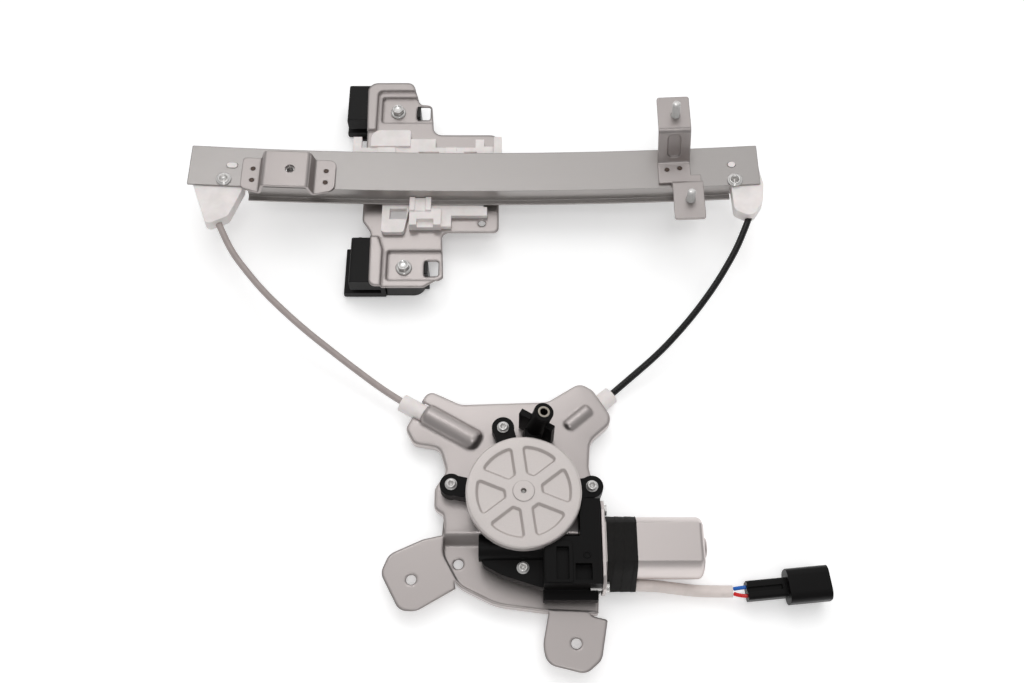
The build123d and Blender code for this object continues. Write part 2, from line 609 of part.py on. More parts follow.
# ---------------------------------------------------------------- glass carrier
def press_down(plate, region, depth):
    """Press a region of the carrier plate's sheet down, with sloping walls."""
    top, down = Pos(0, 0, CARRIER_Z), (0, 0, -1)
    wall = extrude(top * offset(region, SHEET / 2), depth + SHEET, dir=down, taper=PRESS_DRAFT)
    hollow = extrude(top * region, depth, dir=down, taper=PRESS_DRAFT)
    return plate + wall - hollow


def press_up(plate, region, height):
    under = CARRIER_Z - SHEET
    wall = extrude(Pos(0, 0, under) * region, height + SHEET, dir=(0, 0, 1), taper=PRESS_DRAFT)
    hollow = extrude(Pos(0, 0, under) * offset(region, -SHEET / 2), height, dir=(0, 0, 1), taper=PRESS_DRAFT)
    return plate + wall - hollow


def carrier_face():
    left, right = UPPER_BOLT[0] + STEEL_EDGE, LOWER_BOLT[0] + STEEL_EDGE
    upper_x, upper_y = UPPER_BOLT
    lower_x, lower_y = LOWER_BOLT
    low = lower_y + WING_LOW
    return outline((left, upper_y + WING_HIGH, 8), (upper_x + 11, upper_y + WING_HIGH, 6),
                   (upper_x + 17, upper_y + 8, 4), (upper_x + 26.5, upper_y + 7, 4),
                   (upper_x + WING_RIGHT, CARRIER_HIGH, 7), (CARRIER_RIGHT, CARRIER_HIGH, 7),
                   (CARRIER_RIGHT, CARRIER_LOW, 4), (lower_x + 27.3, CARRIER_LOW, 5),
                   (lower_x + WING_RIGHT, low + 9, 1.5), (lower_x + 15, low, 4), (right, low, 5),
                   (right - 1, CARRIER_LOW, 9), (CARRIER_LEFT, CARRIER_LOW + 10, 5),
                   (CARRIER_LEFT - 1, 300, 20))


def carrier_plate():
    """Pressed steel carrier: a wing at each clamp, raised over the grip and recessed round the bolt."""
    plate = slab(carrier_face(), CARRIER_Z - SHEET, CARRIER_Z)
    edge, top = GRIP_END - 0.7, PAD_Y[1] + 3
    upper = outline((-40, -21, 0), (edge, -21, 3), (edge, top, 3), (40, top, 0), (40, 40, 0), (-40, 40, 0))
    high = WING_HIGH + 0.7
    lower = outline((-40, -40, 0), (edge, -40, 0), (edge, PAD_Y[1], 3), (edge - 4, high, 3), (-40, high, 0))
    pad = outline((PAD_X[0], PAD_Y[0], 2.5), (40, PAD_Y[0], 0), (40, PAD_Y[1], 0), (PAD_X[0], PAD_Y[1], 2.5))
    for bolt, raised in ((UPPER_BOLT, upper), (LOWER_BOLT, lower)):
        plate = press_up(plate, Pos(*bolt) * raised, WING_RAISE)
        plate = press_down(plate, Pos(*bolt) * pad, PAD_DEPTH)
    plate &= slab(carrier_face(), 0, 60)
    slot = RectangleRounded(HOOK_SLOT_X[1] - HOOK_SLOT_X[0], HOOK_SLOT_Y[1] - HOOK_SLOT_Y[0], 2)
    slot = Pos(sum(HOOK_SLOT_X) / 2, sum(HOOK_SLOT_Y) / 2) * slot
    for bolt in (UPPER_BOLT, LOWER_BOLT):
        plate -= drill(bolt, STUD_RADIUS + HOLE_GAP, 0, 60)
        plate -= slab(Pos(*bolt) * slot, 0, 60)
    plate -= drill(CARRIER_HOLE, CARRIER_HOLE_RADIUS, 0, 60)
    plate -= block(WINDOW_X, (WINDOW_Y[0], WINDOW_Y[1] + 2), (0, 60))
    for place in STAKES:
        plate -= drill(place, STAKE_RADIUS + BEARING_GAP, 0, 60)
    return plate


def cable_slider():
    """Plastic slider: a base on the plate, a rib inside the rail, and shoes that reach round its flanges."""
    low = CARRIER_Z + SEAT_GAP
    top = CARRIER_Z + SLIDER_BASE
    base = [((-129.7, -28.9), (262, 280)), ((-104.3, -28.9), (222, 262)), ((-129.7, -123.1), (270, 290)),
            ((-115.8, -66.1), (270, 288)), ((-35.6, -28.9), (270, 287.6)), ((-28.9, -15.3), (240, 281)),
            ((-21.4, -15.3), (270, 287)), ((-83.9, -60), (208, 226)), ((-60, -52.7), (209, 226)),
            ((-52.7, -26.1), (218.4, 226))]
    slider = slab(outline((-115.8, 280, 0), (-115.8, 295, 8), (-85.4, 295, 2), (-85.4, 280, 0)), low, top + 2)
    slider += slab(outline((-104.3, 204, 3), (-87.6, 204, 3), (-83.9, 226, 0), (-104.3, 226, 0)), low, top)
    for x, y in base:
        slider += block(x, y, (low, top))
    slider += block((-21.4, -15.3), (270, 287), (low, top + 4))
    slider += block((-83.5, -67.5), (219.5, 231), (low, 35))
    slider += block((-83.5, -60), (208, 222), (low, 33))
    for x in ((-110, -96), (-58, -44)):
        slider += block(x, (266.5, 276), (low, 34.5))
    slider += band((-RIB_HALF, RIB_HALF), (-RAIL_DEPTH - 4, RIB_TOP), *RIB_ENDS)
    slider -= band((-1.3, 1.3), (-CABLE_DEPTH - 1.3, 5), RIB_ENDS[0] - 1, RIB_ENDS[1] + 1)
    seat = NIPPLE_RADIUS + SEAT_GAP
    for start in NIPPLES:
        end = start + NIPPLE_LENGTH
        slider -= band((-seat, seat), (-CABLE_DEPTH - seat, 5), start - SEAT_GAP, end + SEAT_GAP)
    slider -= along_rail(hat_section(RUN_GAP), -140, 60)
    for x in (-79, -50):
        slider -= block((x, x + 15.6), (272.5, 276), (low + 1.2, 60))
    slider -= block((-79.5, -71.5), (216, 232), (33.5, 60))
    slider -= block((-78, -65.5), (207, 213), (29, 60))
    slider -= block(WINDOW_X, WINDOW_Y, (0, 60))
    for place in STAKES:
        slider += drill(place, STAKE_RADIUS, CARRIER_Z - SHEET - 0.8, low + 1)
    return slider


def cable_nipples():
    """Crimped ends of the cable, each in its seat in the slider's rib."""
    face = Pos(0, -CABLE_DEPTH) * (Circle(NIPPLE_RADIUS) - Circle(CABLE_RADIUS + RUN_GAP))
    return Compound(children=[along_rail(face, start, start + NIPPLE_LENGTH) for start in NIPPLES])


def at_bolt(shape, bolt):
    return Pos(bolt[0], bolt[1], 0) * shape


def glass_grip(bolt, back, side):
    """Rubber channel that takes the edge of the glass: two leaves joined by a web."""
    slot_low = JAW_SHEET + BACK_LEAF
    slot_high = slot_low + GLASS_SLOT
    under = CARRIER_Z - SHEET - SEAT_GAP
    top = under + WING_RAISE
    low, web = JAW_SHEET + SEAT_GAP, GRIP_END - GRIP_WEB
    section = outline((back, low, 1.5), (GRIP_END, low, 1), (GRIP_END, under, 1), (GRIP_END - 6, under, 0.5),
                      (GRIP_END - 6, top, 1), (GRIP_FRONT, top, 2), (GRIP_FRONT, slot_high, 2),
                      (web, slot_high, 1), (web, slot_low, 1), (back, slot_low, 1.5))
    plane = Plane(origin=(0, side, 0), x_dir=(1, 0, 0), z_dir=(0, -1, 0))
    grip = extrude(plane * section, side - GRIP_HIGH)
    grip += block((-34, -32), (GRIP_HIGH - 1, GRIP_HIGH + 1.5), (top - 5, top - 2))
    return at_bolt(grip, bolt)


def clamp_jaw(bolt):
    """Back jaw: a pressed plate under the grip, with a rim and a tab that hooks into the carrier's slot."""
    face = outline((JAW_LEFT, JAW_LOW, 3), (JAW_RIGHT, JAW_LOW, 9), (JAW_RIGHT, 8, 5), (7, JAW_HIGH, 4),
                   (JAW_LEFT, JAW_HIGH, 3))
    jaw = slab(face, 0, RIM_TOP) - slab(offset(face, -JAW_RIM), JAW_SHEET, RIM_TOP + 1)
    jaw -= block((-60, GRIP_END + 0.6), (-40, 40), (JAW_SHEET, RIM_TOP + 1))
    jaw -= block((JAW_RIGHT - 3, JAW_RIGHT + 1), (-3, 40), (JAW_SHEET, RIM_TOP + 1))
    start = HOOK_SLOT_X[0] + RUN_GAP
    tab_y = (HOOK_SLOT_Y[0] + 1.5, HOOK_SLOT_Y[1] - 1.5)
    jaw += block((JAW_RIGHT - 1, start + JAW_SHEET), tab_y, (0, JAW_SHEET))
    jaw += block((start, start + JAW_SHEET), tab_y, (0, CARRIER_Z - 0.5))
    return at_bolt(jaw - drill((0, 0), STUD_RADIUS + HOLE_GAP, -1, 30), bolt)


def clamp_bolts():
    bolts = []
    pad = CARRIER_Z - PAD_DEPTH
    for bolt in (UPPER_BOLT, LOWER_BOLT):
        shape = drill(bolt, BOLT_WASHER, pad, pad + WASHER_THICK)
        shape += hexagon(bolt, BOLT_HEX, pad + WASHER_THICK, pad + WASHER_THICK + BOLT_HEAD)
        bolts.append(shape + drill(bolt, STUD_RADIUS, 0.8, pad))
    return Compound(children=bolts)


def clamp_nuts():
    nuts = []
    for bolt in (UPPER_BOLT, LOWER_BOLT):
        nut = hexagon(bolt, NUT_HEX, JAW_SHEET, JAW_SHEET + NUT_HEIGHT)
        nuts.append(nut - drill(bolt, STUD_RADIUS + BEARING_GAP, 0, 20))
    return Compound(children=nuts)


# ---------------------------------------------------------------- drum and its housing
def bearing(place):
    """Direction of a place from the drum's axis, in degrees."""
    return degrees(atan2(place[1], place[0]))


def drum_housing():
    """Cup under the plate that holds the drum, with three arms that take the gearbox screws."""
    top = PLATE_Z - SHEET - SEAT_GAP
    inner = HOUSING_RADIUS - HOUSING_WALL
    cup = drill((0, 0), HOUSING_RADIUS, 0, top)
    for place in SCREWS[:3]:
        reach = hypot(*place)
        cup += Rot(0, 0, bearing(place)) * block((0, reach), (-3, 3), (top - 6, top))
        cup += drill(place, SCREW_RADIUS + 2.6, top - 9, top)
    cup = chamfer(cup.faces().sort_by(Axis.Z)[0].edges(), 1)
    cup -= drill((0, 0), inner, HOUSING_FLOOR, top + 1)
    cup -= drill((0, 0), SPIGOT_RADIUS + BEARING_GAP, 0.6, HOUSING_FLOOR + 1)
    for place in SCREWS[:3]:
        cup -= drill(place, SCREW_RADIUS + BEARING_GAP, top - 8, top + 1)
    for way, side, groove, axis, ends in ((LEFT_WAY, LEFT_SIDE, LEFT_GROOVE_Z, left_axis, LEFT_FERRULE),
                                          (RIGHT_WAY, RIGHT_SIDE, RIGHT_GROOVE_Z, right_axis, RIGHT_FERRULE)):
        cup -= rod(span(way, side, groove)[0], axis(ends[0]), 2.5)
    return cup


def cable_drum():
    """Drum with one groove for each cable, bored for the shaft."""
    rim = DRUM_RADIUS + DRUM_FLANGE
    seat = DRUM_RADIUS - CABLE_RADIUS
    low, high = DRUM_LOW, DRUM_LOW + DRUM_WIDTH
    half = CABLE_RADIUS + 0.15
    points = [(SHAFT_RADIUS, low), (rim, low)]
    for groove in (RIGHT_GROOVE_Z, LEFT_GROOVE_Z):
        points += [(rim, groove - half - 0.4), (seat, groove - half)]
        points += [(seat, groove + half), (rim, groove + half + 0.4)]
    points += [(rim, high), (SHAFT_RADIUS, high)]
    return turned(*points)


def drum_windings():
    """The turns of cable on the drum, one ring in each groove."""
    ring = Torus(DRUM_RADIUS, CABLE_RADIUS)
    return Compound(children=[Pos(0, 0, groove) * ring for groove in (RIGHT_GROOVE_Z, LEFT_GROOVE_Z)])


def output_shaft():
    return turned((0, 0.8), (SPIGOT_RADIUS, 0.8), (SPIGOT_RADIUS, DRUM_LOW), (SHAFT_RADIUS, DRUM_LOW),
                  (SHAFT_RADIUS, SHAFT_TOP), (NOSE_RADIUS, SHAFT_TOP), (NOSE_RADIUS, COVER_Z - 1),
                  (0, COVER_Z - 0.6))


def worm_wheel():
    """Worm wheel: teeth round a rim, a thin web and a hub pressed on the shaft."""
    root = WHEEL_RADIUS - 1.2 * TOOTH_MODULE
    tip = WHEEL_RADIUS + 0.95 * TOOTH_MODULE
    pitch = 2 * pi / WHEEL_TEETH
    points = []
    for tooth in range(WHEEL_TEETH):
        for share, radius in ((-0.36, root), (-0.13, tip), (0.13, tip), (0.36, root)):
            angle = (tooth + share) * pitch
            points.append((radius * cos(angle), radius * sin(angle)))
    low, high = MOTOR_Z - WHEEL_WIDTH / 2, MOTOR_Z + WHEEL_WIDTH / 2
    wheel = slab(make_face(Polyline(*points, close=True)), low, high)
    hollow = turned((10, high + 1), (10, high - 3), (22, high - 3), (22, high + 1))
    return wheel - hollow - drill((0, 0), SHAFT_RADIUS, low - 1, high + 1)


def damper():
    """Rubber ring that cushions the wheel's drive to the shaft."""
    low = MOTOR_Z + WHEEL_WIDTH / 2 - 3
    return drill((0, 0), 21.7, low, low + 5.5) - drill((0, 0), 10.3, low - 1, low + 7)


def drive_plate():
    low = MOTOR_Z + WHEEL_WIDTH / 2 + 2.5 + SEAT_GAP
    plate = drill((0, 0), 20, low, low + 2) + drill((0, 0), 9, low, low + 4)
    return plate - drill((0, 0), SHAFT_RADIUS, low - 1, low + 5)


# ---------------------------------------------------------------- gearbox
def arm(place, radius, low, high):
    """Ear round a screw with a straight web back to the gearbox's middle."""
    reach = hypot(*place)
    web = Rot(0, 0, bearing(place)) * block((0, reach), (-radius * 0.9, radius * 0.9), (low, high))
    return web + drill(place, radius, low, high)


def motor_axis(x):
    return (x, MOTOR_Y, MOTOR_Z)


def gear_housing():
    """Moulded gearbox: a cup for the worm wheel, a tube for the worm, a block for the motor, and ears."""
    low = PLATE_Z + SEAT_GAP
    cup = drill((0, 0), GEARCASE_RADIUS, low, GEARCASE_TOP)
    cup += drill((0, 0), GEARCASE_LIP, GEARCASE_TOP - 4, GEARCASE_TOP - 1.2)
    for place in SCREWS[:3]:
        cup += arm(place, EAR_RADIUS, low, EAR_Z)
    foot, top = Vector(*BOSS_FOOT), Vector(*BOSS_TOP)
    boss = rod(foot - (top - foot) * 0.2, top, BOSS_RADIUS)
    fin = Rot(0, 0, -30) * block((-12.5, 12.5), (-2.2, 2.2), (low, 42))
    lean = (top - foot).X / (top - foot).Z
    boss += Pos(foot.X + lean * 14, foot.Y + 1, 0) * fin
    boss += block((foot.X - 5, foot.X + 6), (GEARCASE_RADIUS - 4, foot.Y), (low, 30))
    cup += boss - block((-60, 60), (-60, 90), (-20, low))
    cup += rod(motor_axis(-29), motor_axis(14), WORM_TUBE_RADIUS)
    cup += block((BLOCK_LEFT, BLOCK_RIGHT), (-58.5, -28), (11, BLOCK_TOP))
    cup += block((36, BLOCK_RIGHT), (-30, -3), (low, BLOCK_TOP))
    cup += block((BLOCK_LEFT, BLOCK_RIGHT - 2), (-65, -57), (13, 22))
    cup += slab(outline((-27, -30, 0), (-27, -43, 5), (-14, -50, 8), (14, -59, 0), (14, -30, 0)), low, EAR_Z)
    cup += drill(SCREWS[3], 5, PAN_Z + SEAT_GAP, low + 1)
    cup -= drill((0, 0), GEARCASE_RADIUS - GEARCASE_WALL, low + 2, GEARCASE_TOP + 1)
    cup -= drill((0, 0), SHAFT_RADIUS + BEARING_GAP, low - 1, low + 3)
    cup -= rod(motor_axis(-27.5), motor_axis(BLOCK_RIGHT + 1), WORM_BORE)
    skirt = COVER_Z - COVER_SKIRT - RUN_GAP
    cup -= drill((0, 0), COVER_RADIUS + RUN_GAP, skirt, 60) - drill((0, 0), GEARCASE_LIP, skirt - 1, 61)
    for place in SCREWS:
        cup -= drill(place, SCREW_RADIUS + HOLE_GAP, 0, 40)
    cup -= rod(top - (top - foot).normalized() * 13, top + (top - foot), INSERT_RADIUS)
    frame = outline((13.2, -57.8, 1.5), (31, -57.8, 1.5), (31, -31, 3), (13.2, -31, 3))
    frame = slab(frame, BLOCK_TOP - 1, BLOCK_TOP + 1) - drill((0, 0), COVER_RADIUS + RUN_GAP, 0, 60)
    ring = Pos(*GATE_MARK) * (Circle(2.4) - Circle(1.5))
    cup += frame + slab(ring, BLOCK_TOP - 0.5, BLOCK_TOP + 0.6)
    cup -= block((20.6, 28.4), (-56, -35), (BLOCK_TOP - 3, BLOCK_TOP + 2))
    cup -= block((32.6, 43), (-56, -45.5), (BLOCK_TOP - 6, BLOCK_TOP + 1))
    for offset_y in (-FLANGE_SCREW, FLANGE_SCREW):
        place = Vector(BLOCK_RIGHT - 8, MOTOR_Y + offset_y, MOTOR_Z)
        cup -= rod(place, place + Vector(20, 0, 0), SCREW_RADIUS)
    return cup


def boss_insert():
    """Threaded metal insert in the leaning boss."""
    foot, top = Vector(*BOSS_FOOT), Vector(*BOSS_TOP)
    way = (top - foot).normalized()
    return rod(top - way * 13, top + way * 0.4, INSERT_RADIUS) - rod(top - way * 14, top + way, INSERT_BORE)


def gear_cover():
    """Pressed metal cover with six sector pockets between its spokes, and a hub."""
    skirt = COVER_Z - COVER_SKIRT
    cover = drill((0, 0), COVER_RADIUS, skirt, COVER_Z)
    cover = fillet(cover.faces().sort_by(Axis.Z)[-1].edges(), 1.5)
    cover -= drill((0, 0), COVER_RADIUS - COVER_SHEET, skirt - 1, COVER_Z - COVER_SHEET)
    inner, outer = POCKET_REACH
    pockets = Circle(outer) - Circle(inner)
    for spoke in range(3):
        pockets -= Rot(0, 0, 38 + 60 * spoke) * Rectangle(3 * outer, SPOKE_WIDTH)
    top, down = Pos(0, 0, COVER_Z), (0, 0, -1)
    for pocket in fillet(pockets.vertices(), 2.6).faces():
        under = offset(pocket, COVER_SHEET)
        cover += extrude(top * under, POCKET_DEPTH + COVER_SHEET, dir=down, taper=POCKET_DRAFT)
        cover -= extrude(top * pocket, POCKET_DEPTH, dir=down, taper=POCKET_DRAFT)
    cover += drill((0, 0), HUB_RADIUS, COVER_Z - 1, COVER_Z + 0.6)
    return cover - drill((0, 0), NOSE_RADIUS + BEARING_GAP, COVER_Z - 8, COVER_Z + 2)


def gearbox_screws():
    screws = []
    for place, tip in zip(SCREWS, 3 * [PLATE_Z - SCREW_TIP] + [PAN_Z - 5]):
        screw = drill(place, 4.1, EAR_Z, EAR_Z + 1) + drill(place, 3.2, EAR_Z + 1, EAR_Z + 3)
        screw += drill(place, SCREW_RADIUS, tip, EAR_Z)
        screws.append(screw - hexagon(place, 3.4, EAR_Z + 1.6, EAR_Z + 4))
    return Compound(children=screws)


# ---------------------------------------------------------------- motor
def can_face(grow=0.0):
    """The motor's double-D section, grown all round."""
    return Circle(CAN_RADIUS + grow) & Rectangle(3 * CAN_RADIUS, 2 * (CAN_FLAT + grow))


def along_motor(face, start, end):
    """A section (across, up from the motor's axis) made solid between two places along the axis."""
    plane = Plane(origin=motor_axis(start), x_dir=(0, 1, 0), z_dir=(1, 0, 0))
    return extrude(plane * face, end - start)


def motor_can():
    """Drawn steel can with a flange at the gearbox and a bearing pocket at the far end."""
    can = along_motor(can_face(), CAN_START, CAN_END)
    can = fillet(can.faces().sort_by(Axis.X)[-1].edges(), 3.5)
    half, tall = FLANGE_SCREW + 4, CAN_FLAT - 0.5
    flange = outline((half, -8, 2), (half - 8, -tall, 2), (8 - half, -tall, 2), (-half, -8, 2),
                     (-half, 8, 2), (8 - half, tall, 2), (half - 8, tall, 2), (half, 8, 2))
    can += along_motor(flange, CAN_START - FLANGE_THICK, CAN_START)
    pocket = along_motor(Circle(CAN_POCKET), CAN_END - 1, CAN_END + CAN_POCKET_DEPTH)
    can += fillet(pocket.faces().sort_by(Axis.X)[-1].edges(), 1.8)
    can -= along_motor(can_face(-CAN_WALL), CAN_START, CAN_END - CAN_WALL)
    can -= along_motor(Circle(9), CAN_START - FLANGE_THICK - 1, CAN_START + 1)
    pocket_end = CAN_END + CAN_POCKET_DEPTH - CAN_WALL
    can -= along_motor(Circle(CAN_POCKET - CAN_WALL), CAN_END - CAN_WALL - 1, pocket_end)
    for across in (-FLANGE_SCREW, FLANGE_SCREW):
        can -= along_motor(Pos(across, 0) * Circle(SCREW_RADIUS + HOLE_GAP), CAN_START - 5, CAN_START + 1)
    return can


def motor_screws():
    screws = []
    for across in (-FLANGE_SCREW, FLANGE_SCREW):
        head = along_motor(Pos(across, 0) * Circle(FLANGE_HEAD), CAN_START, CAN_START + 2.4)
        shank = along_motor(Pos(across, 0) * Circle(SCREW_RADIUS), BLOCK_RIGHT - 7, CAN_START)
        screws.append(head + shank)
    return Compound(children=screws)


def lead_face(radius):
    """Round section of the lead where it runs beside the motor can."""
    return Pos(SLEEVE_ROUTE[0][1] - MOTOR_Y, SLEEVE_ROUTE[0][2] - MOTOR_Z) * Circle(radius)


def motor_tape():
    """Tape wound round the can and the lead."""
    wrap = make_hull((can_face(TAPE_THICK) + lead_face(SLEEVE_RADIUS + TAPE_THICK)).edges())
    wrap = wrap - can_face(BEARING_GAP) - lead_face(SLEEVE_RADIUS + BEARING_GAP)
    tape = along_motor(wrap, TAPE_START, TAPE_END)
    return tape - along_motor(Pos(-FLANGE_SCREW, 0) * Circle(FLANGE_HEAD + RUN_GAP), CAN_START, CAN_START + 3)


def armature_shaft():
    shaft = rod(motor_axis(-27), motor_axis(CAN_END + CAN_POCKET_DEPTH - CAN_WALL - RUN_GAP), MOTOR_SHAFT)
    return shaft + rod(motor_axis(-WORM_HALF), motor_axis(WORM_HALF), WORM_ROOT)


def armature_core():
    """Slotted stack of laminations with the winding's ends."""
    stack = Circle(CORE_RADIUS)
    for slot in range(8):
        stack -= Rot(0, 0, 45 * slot) * Pos(CORE_RADIUS - 2, 0) * Rectangle(6, 1.8)
    core = along_motor(stack, 74, 102)
    core += along_motor(Circle(CORE_RADIUS - 2.5), 70.5, 105.5)
    return core - along_motor(Circle(MOTOR_SHAFT), 60, 110)


def commutator():
    bars = Circle(5.5)
    for bar in range(8):
        bars -= Rot(0, 0, 45 * bar) * Pos(5.5, 0) * Rectangle(1.2, 0.5)
    return along_motor(bars - Circle(MOTOR_SHAFT), 58.5, 68.5)


def magnets():
    """Two curved magnets on the round sides of the can."""
    ring = Circle(CAN_RADIUS - CAN_WALL - SEAT_GAP) - Circle(CORE_RADIUS + 0.6)
    keep = Rectangle(3 * CAN_RADIUS, 2 * (CAN_FLAT - CAN_WALL - 2))
    both = ring & keep
    pieces = [along_motor(Sketch() + [face], 71, 106) for face in both.faces()]
    return Compound(children=pieces)


def brush_holder():
    """Moulded end plate with a sleeve for each brush."""
    plate = along_motor(can_face(-CAN_WALL - SEAT_GAP) - Circle(7), CAN_START + 0.2, CAN_START + 3)
    for side in (0, 180):
        sleeve = (Rot(0, 0, side) * Pos(11.5, 0) * Rectangle(9, 7))
        plate += along_motor(sleeve, CAN_START + 2, 67)
    for side in (0, 180):
        plate -= along_motor(Rot(0, 0, side) * Pos(11.5, 0) * Rectangle(12, 4.2), 60, 65.2)
    return plate


def brushes():
    pieces = []
    for side in (0, 180):
        pieces.append(along_motor(Rot(0, 0, side) * Pos(9.8, 0) * Rectangle(8, 4), 60.1, 65.1))
    return Compound(children=pieces)


def motor_bushes():
    """Plain bearings of the motor shaft: at the worm's end, at the gearbox face and in the can's end."""
    seat = WORM_BORE - BEARING_GAP
    end = CAN_END + CAN_POCKET_DEPTH - CAN_WALL - BEARING_GAP
    spans = ((-27.3, -21.5, seat), (42, 48, seat), (end - 3.5, end, CAN_POCKET - CAN_WALL - BEARING_GAP))
    bore = Circle(MOTOR_SHAFT + BEARING_GAP)
    return Compound(children=[along_motor(Circle(radius) - bore, start, end) for start, end, radius in spans])


# ---------------------------------------------------------------- lead and plug
def in_plug(shape):
    """A shape made along +X from the plug's rear, set where the plug lies."""
    return Pos(*PLUG_PLACE) * Rot(0, 0, PLUG_TURN) * shape


def across_plug(face, start, end, height):
    plane = Plane(origin=(start, 0, height), x_dir=(0, 1, 0), z_dir=(1, 0, 0))
    return extrude(plane * face, end - start)


def plug_body():
    """Two-way plug: ribbed neck, deep oval shroud and a latch loop beneath it."""
    length, width, height = PLUG_BODY
    start = PLUG_NECK[0] - 2
    end = start + length
    body = across_plug(RectangleRounded(width, height, 6), start, end, PLUG_Z)
    neck = across_plug(RectangleRounded(PLUG_NECK[1], PLUG_NECK[2], 2), 0, start + 1, NECK_Z)
    neck -= block((-1, start - 3), (-1.6, 1.6), (NECK_Z + 3, NECK_Z + 9))
    body += neck
    body += block((end - 14, end), (-LATCH_WIDTH / 2, LATCH_WIDTH / 2), (0, LATCH_HEIGHT + 2))
    inside = LATCH_WIDTH / 2 - PLUG_WALL
    body -= block((end - 15, end + 1), (-inside, inside), (PLUG_WALL, LATCH_HEIGHT - 0.4))
    socket = RectangleRounded(width - 2 * PLUG_WALL, height - 2 * PLUG_WALL, 4.4)
    body -= across_plug(socket, end - SOCKET_DEPTH, end + 1, PLUG_Z)
    for side in (-1, 1):
        body -= across_plug(Pos(side * WIRE_PITCH / 2, 0) * Circle(WIRE_RADIUS + BEARING_GAP), -1, 3, NECK_Z)
    return in_plug(body)


def plug_insert():
    """Pale inner block of the plug with a chamber for each blade."""
    end = PLUG_NECK[0] - 2 + PLUG_BODY[0]
    core = across_plug(RectangleRounded(16.4, 9.6, 1.5), end - SOCKET_DEPTH, end - 10, PLUG_Z)
    for way in (-1, 0, 1):
        core -= across_plug(Pos(way * BLADE_PITCH, -0.8) * Rectangle(3.6, 5.4), end - 14, end - 9, PLUG_Z)
    return in_plug(core)


def plug_terminals():
    end = PLUG_NECK[0] - 2 + PLUG_BODY[0]
    blades = []
    for way in (0, 1):
        face = Pos(way * BLADE_PITCH, 0.6) * Rectangle(2.8, 0.8)
        blades.append(in_plug(across_plug(face, end - 14, end - 5, PLUG_Z)))
    return Compound(children=blades)


if __name__ == "__main__":
    os.makedirs("parts", exist_ok=True)
    pieces = {
        "guide_rail": guide_rail(),
        "left_bracket": left_bracket(),
        "left_bracket_nut": left_bracket_nut(),
        "right_bracket": right_bracket(),
        "bracket_studs": bracket_studs(),
        "left_cable_guide": left_cable_guide(),
        "right_cable_guide": right_cable_guide(),
        "guide_rivets": guide_rivets(),
        "left_conduit": cord(LEFT_ROUTE, CONDUIT_RADIUS),
        "right_conduit": cord(RIGHT_ROUTE, CONDUIT_RADIUS),
        "left_ferrule": left_ferrule(),
        "right_ferrule": right_ferrule(),
        "tension_spring": tension_spring(),
        "drive_cable": drive_cable(),
        "motor_plate": motor_plate(),
        "carrier_plate": carrier_plate(),
        "cable_slider": cable_slider(),
        "cable_nipples": cable_nipples(),
        "upper_glass_grip": glass_grip(UPPER_BOLT, *UPPER_GRIP),
        "lower_glass_grip": glass_grip(LOWER_BOLT, *LOWER_GRIP),
        "upper_clamp_jaw": clamp_jaw(UPPER_BOLT),
        "lower_clamp_jaw": clamp_jaw(LOWER_BOLT),
        "clamp_bolts": clamp_bolts(),
        "clamp_nuts": clamp_nuts(),
        "drum_housing": drum_housing(),
        "cable_drum": cable_drum(),
        "drum_windings": drum_windings(),
        "output_shaft": output_shaft(),
        "worm_wheel": worm_wheel(),
        "damper": damper(),
        "drive_plate": drive_plate(),
        "gear_housing": gear_housing(),
        "boss_insert": boss_insert(),
        "gear_cover": gear_cover(),
        "gearbox_screws": gearbox_screws(),
        "motor_can": motor_can(),
        "motor_screws": motor_screws(),
        "motor_tape": motor_tape(),
        "armature_shaft": armature_shaft(),
        "armature_core": armature_core(),
        "commutator": commutator(),
        "magnets": magnets(),
        "brush_holder": brush_holder(),
        "brushes": brushes(),
        "motor_bushes": motor_bushes(),
        "lead_sleeve": cord(SLEEVE_ROUTE, SLEEVE_RADIUS),
        "blue_wire": cord(BLUE_ROUTE, WIRE_RADIUS),
        "red_wire": cord(RED_ROUTE, WIRE_RADIUS),
        "plug_body": plug_body(),
        "plug_insert": plug_insert(),
        "plug_terminals": plug_terminals(),
    }
    for name, shape in pieces.items():
        export_step(shape, f"parts/{name}.step")
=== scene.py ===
"""Dresses the window regulator's solids: finishes, fasteners, welds, lead, tape and spring."""
import json
import math

import bmesh
import bpy
import numpy as np
from mathutils import Matrix, Vector


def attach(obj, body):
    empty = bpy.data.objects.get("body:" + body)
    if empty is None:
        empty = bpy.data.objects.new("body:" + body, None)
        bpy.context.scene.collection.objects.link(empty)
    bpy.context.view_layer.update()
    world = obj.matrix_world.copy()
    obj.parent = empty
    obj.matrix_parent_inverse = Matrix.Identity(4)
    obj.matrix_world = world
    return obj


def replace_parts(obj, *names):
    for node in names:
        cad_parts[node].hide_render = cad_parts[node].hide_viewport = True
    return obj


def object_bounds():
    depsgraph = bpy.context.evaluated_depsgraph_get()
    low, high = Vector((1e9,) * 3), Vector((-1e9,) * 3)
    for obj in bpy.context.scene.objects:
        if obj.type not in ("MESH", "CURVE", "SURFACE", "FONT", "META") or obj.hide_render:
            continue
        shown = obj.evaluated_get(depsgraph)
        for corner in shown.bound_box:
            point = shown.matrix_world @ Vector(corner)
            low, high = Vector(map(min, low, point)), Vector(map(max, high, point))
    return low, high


bl_info = {
    "name": "Window Regulator",
    "version": (1, 0, 0),
    "blender": (4, 5, 0),
    "location": "View3D > Sidebar > Regulator",
    "description": "Finishes and small pieces of a cable-drive window regulator",
    "category": "Object",
}

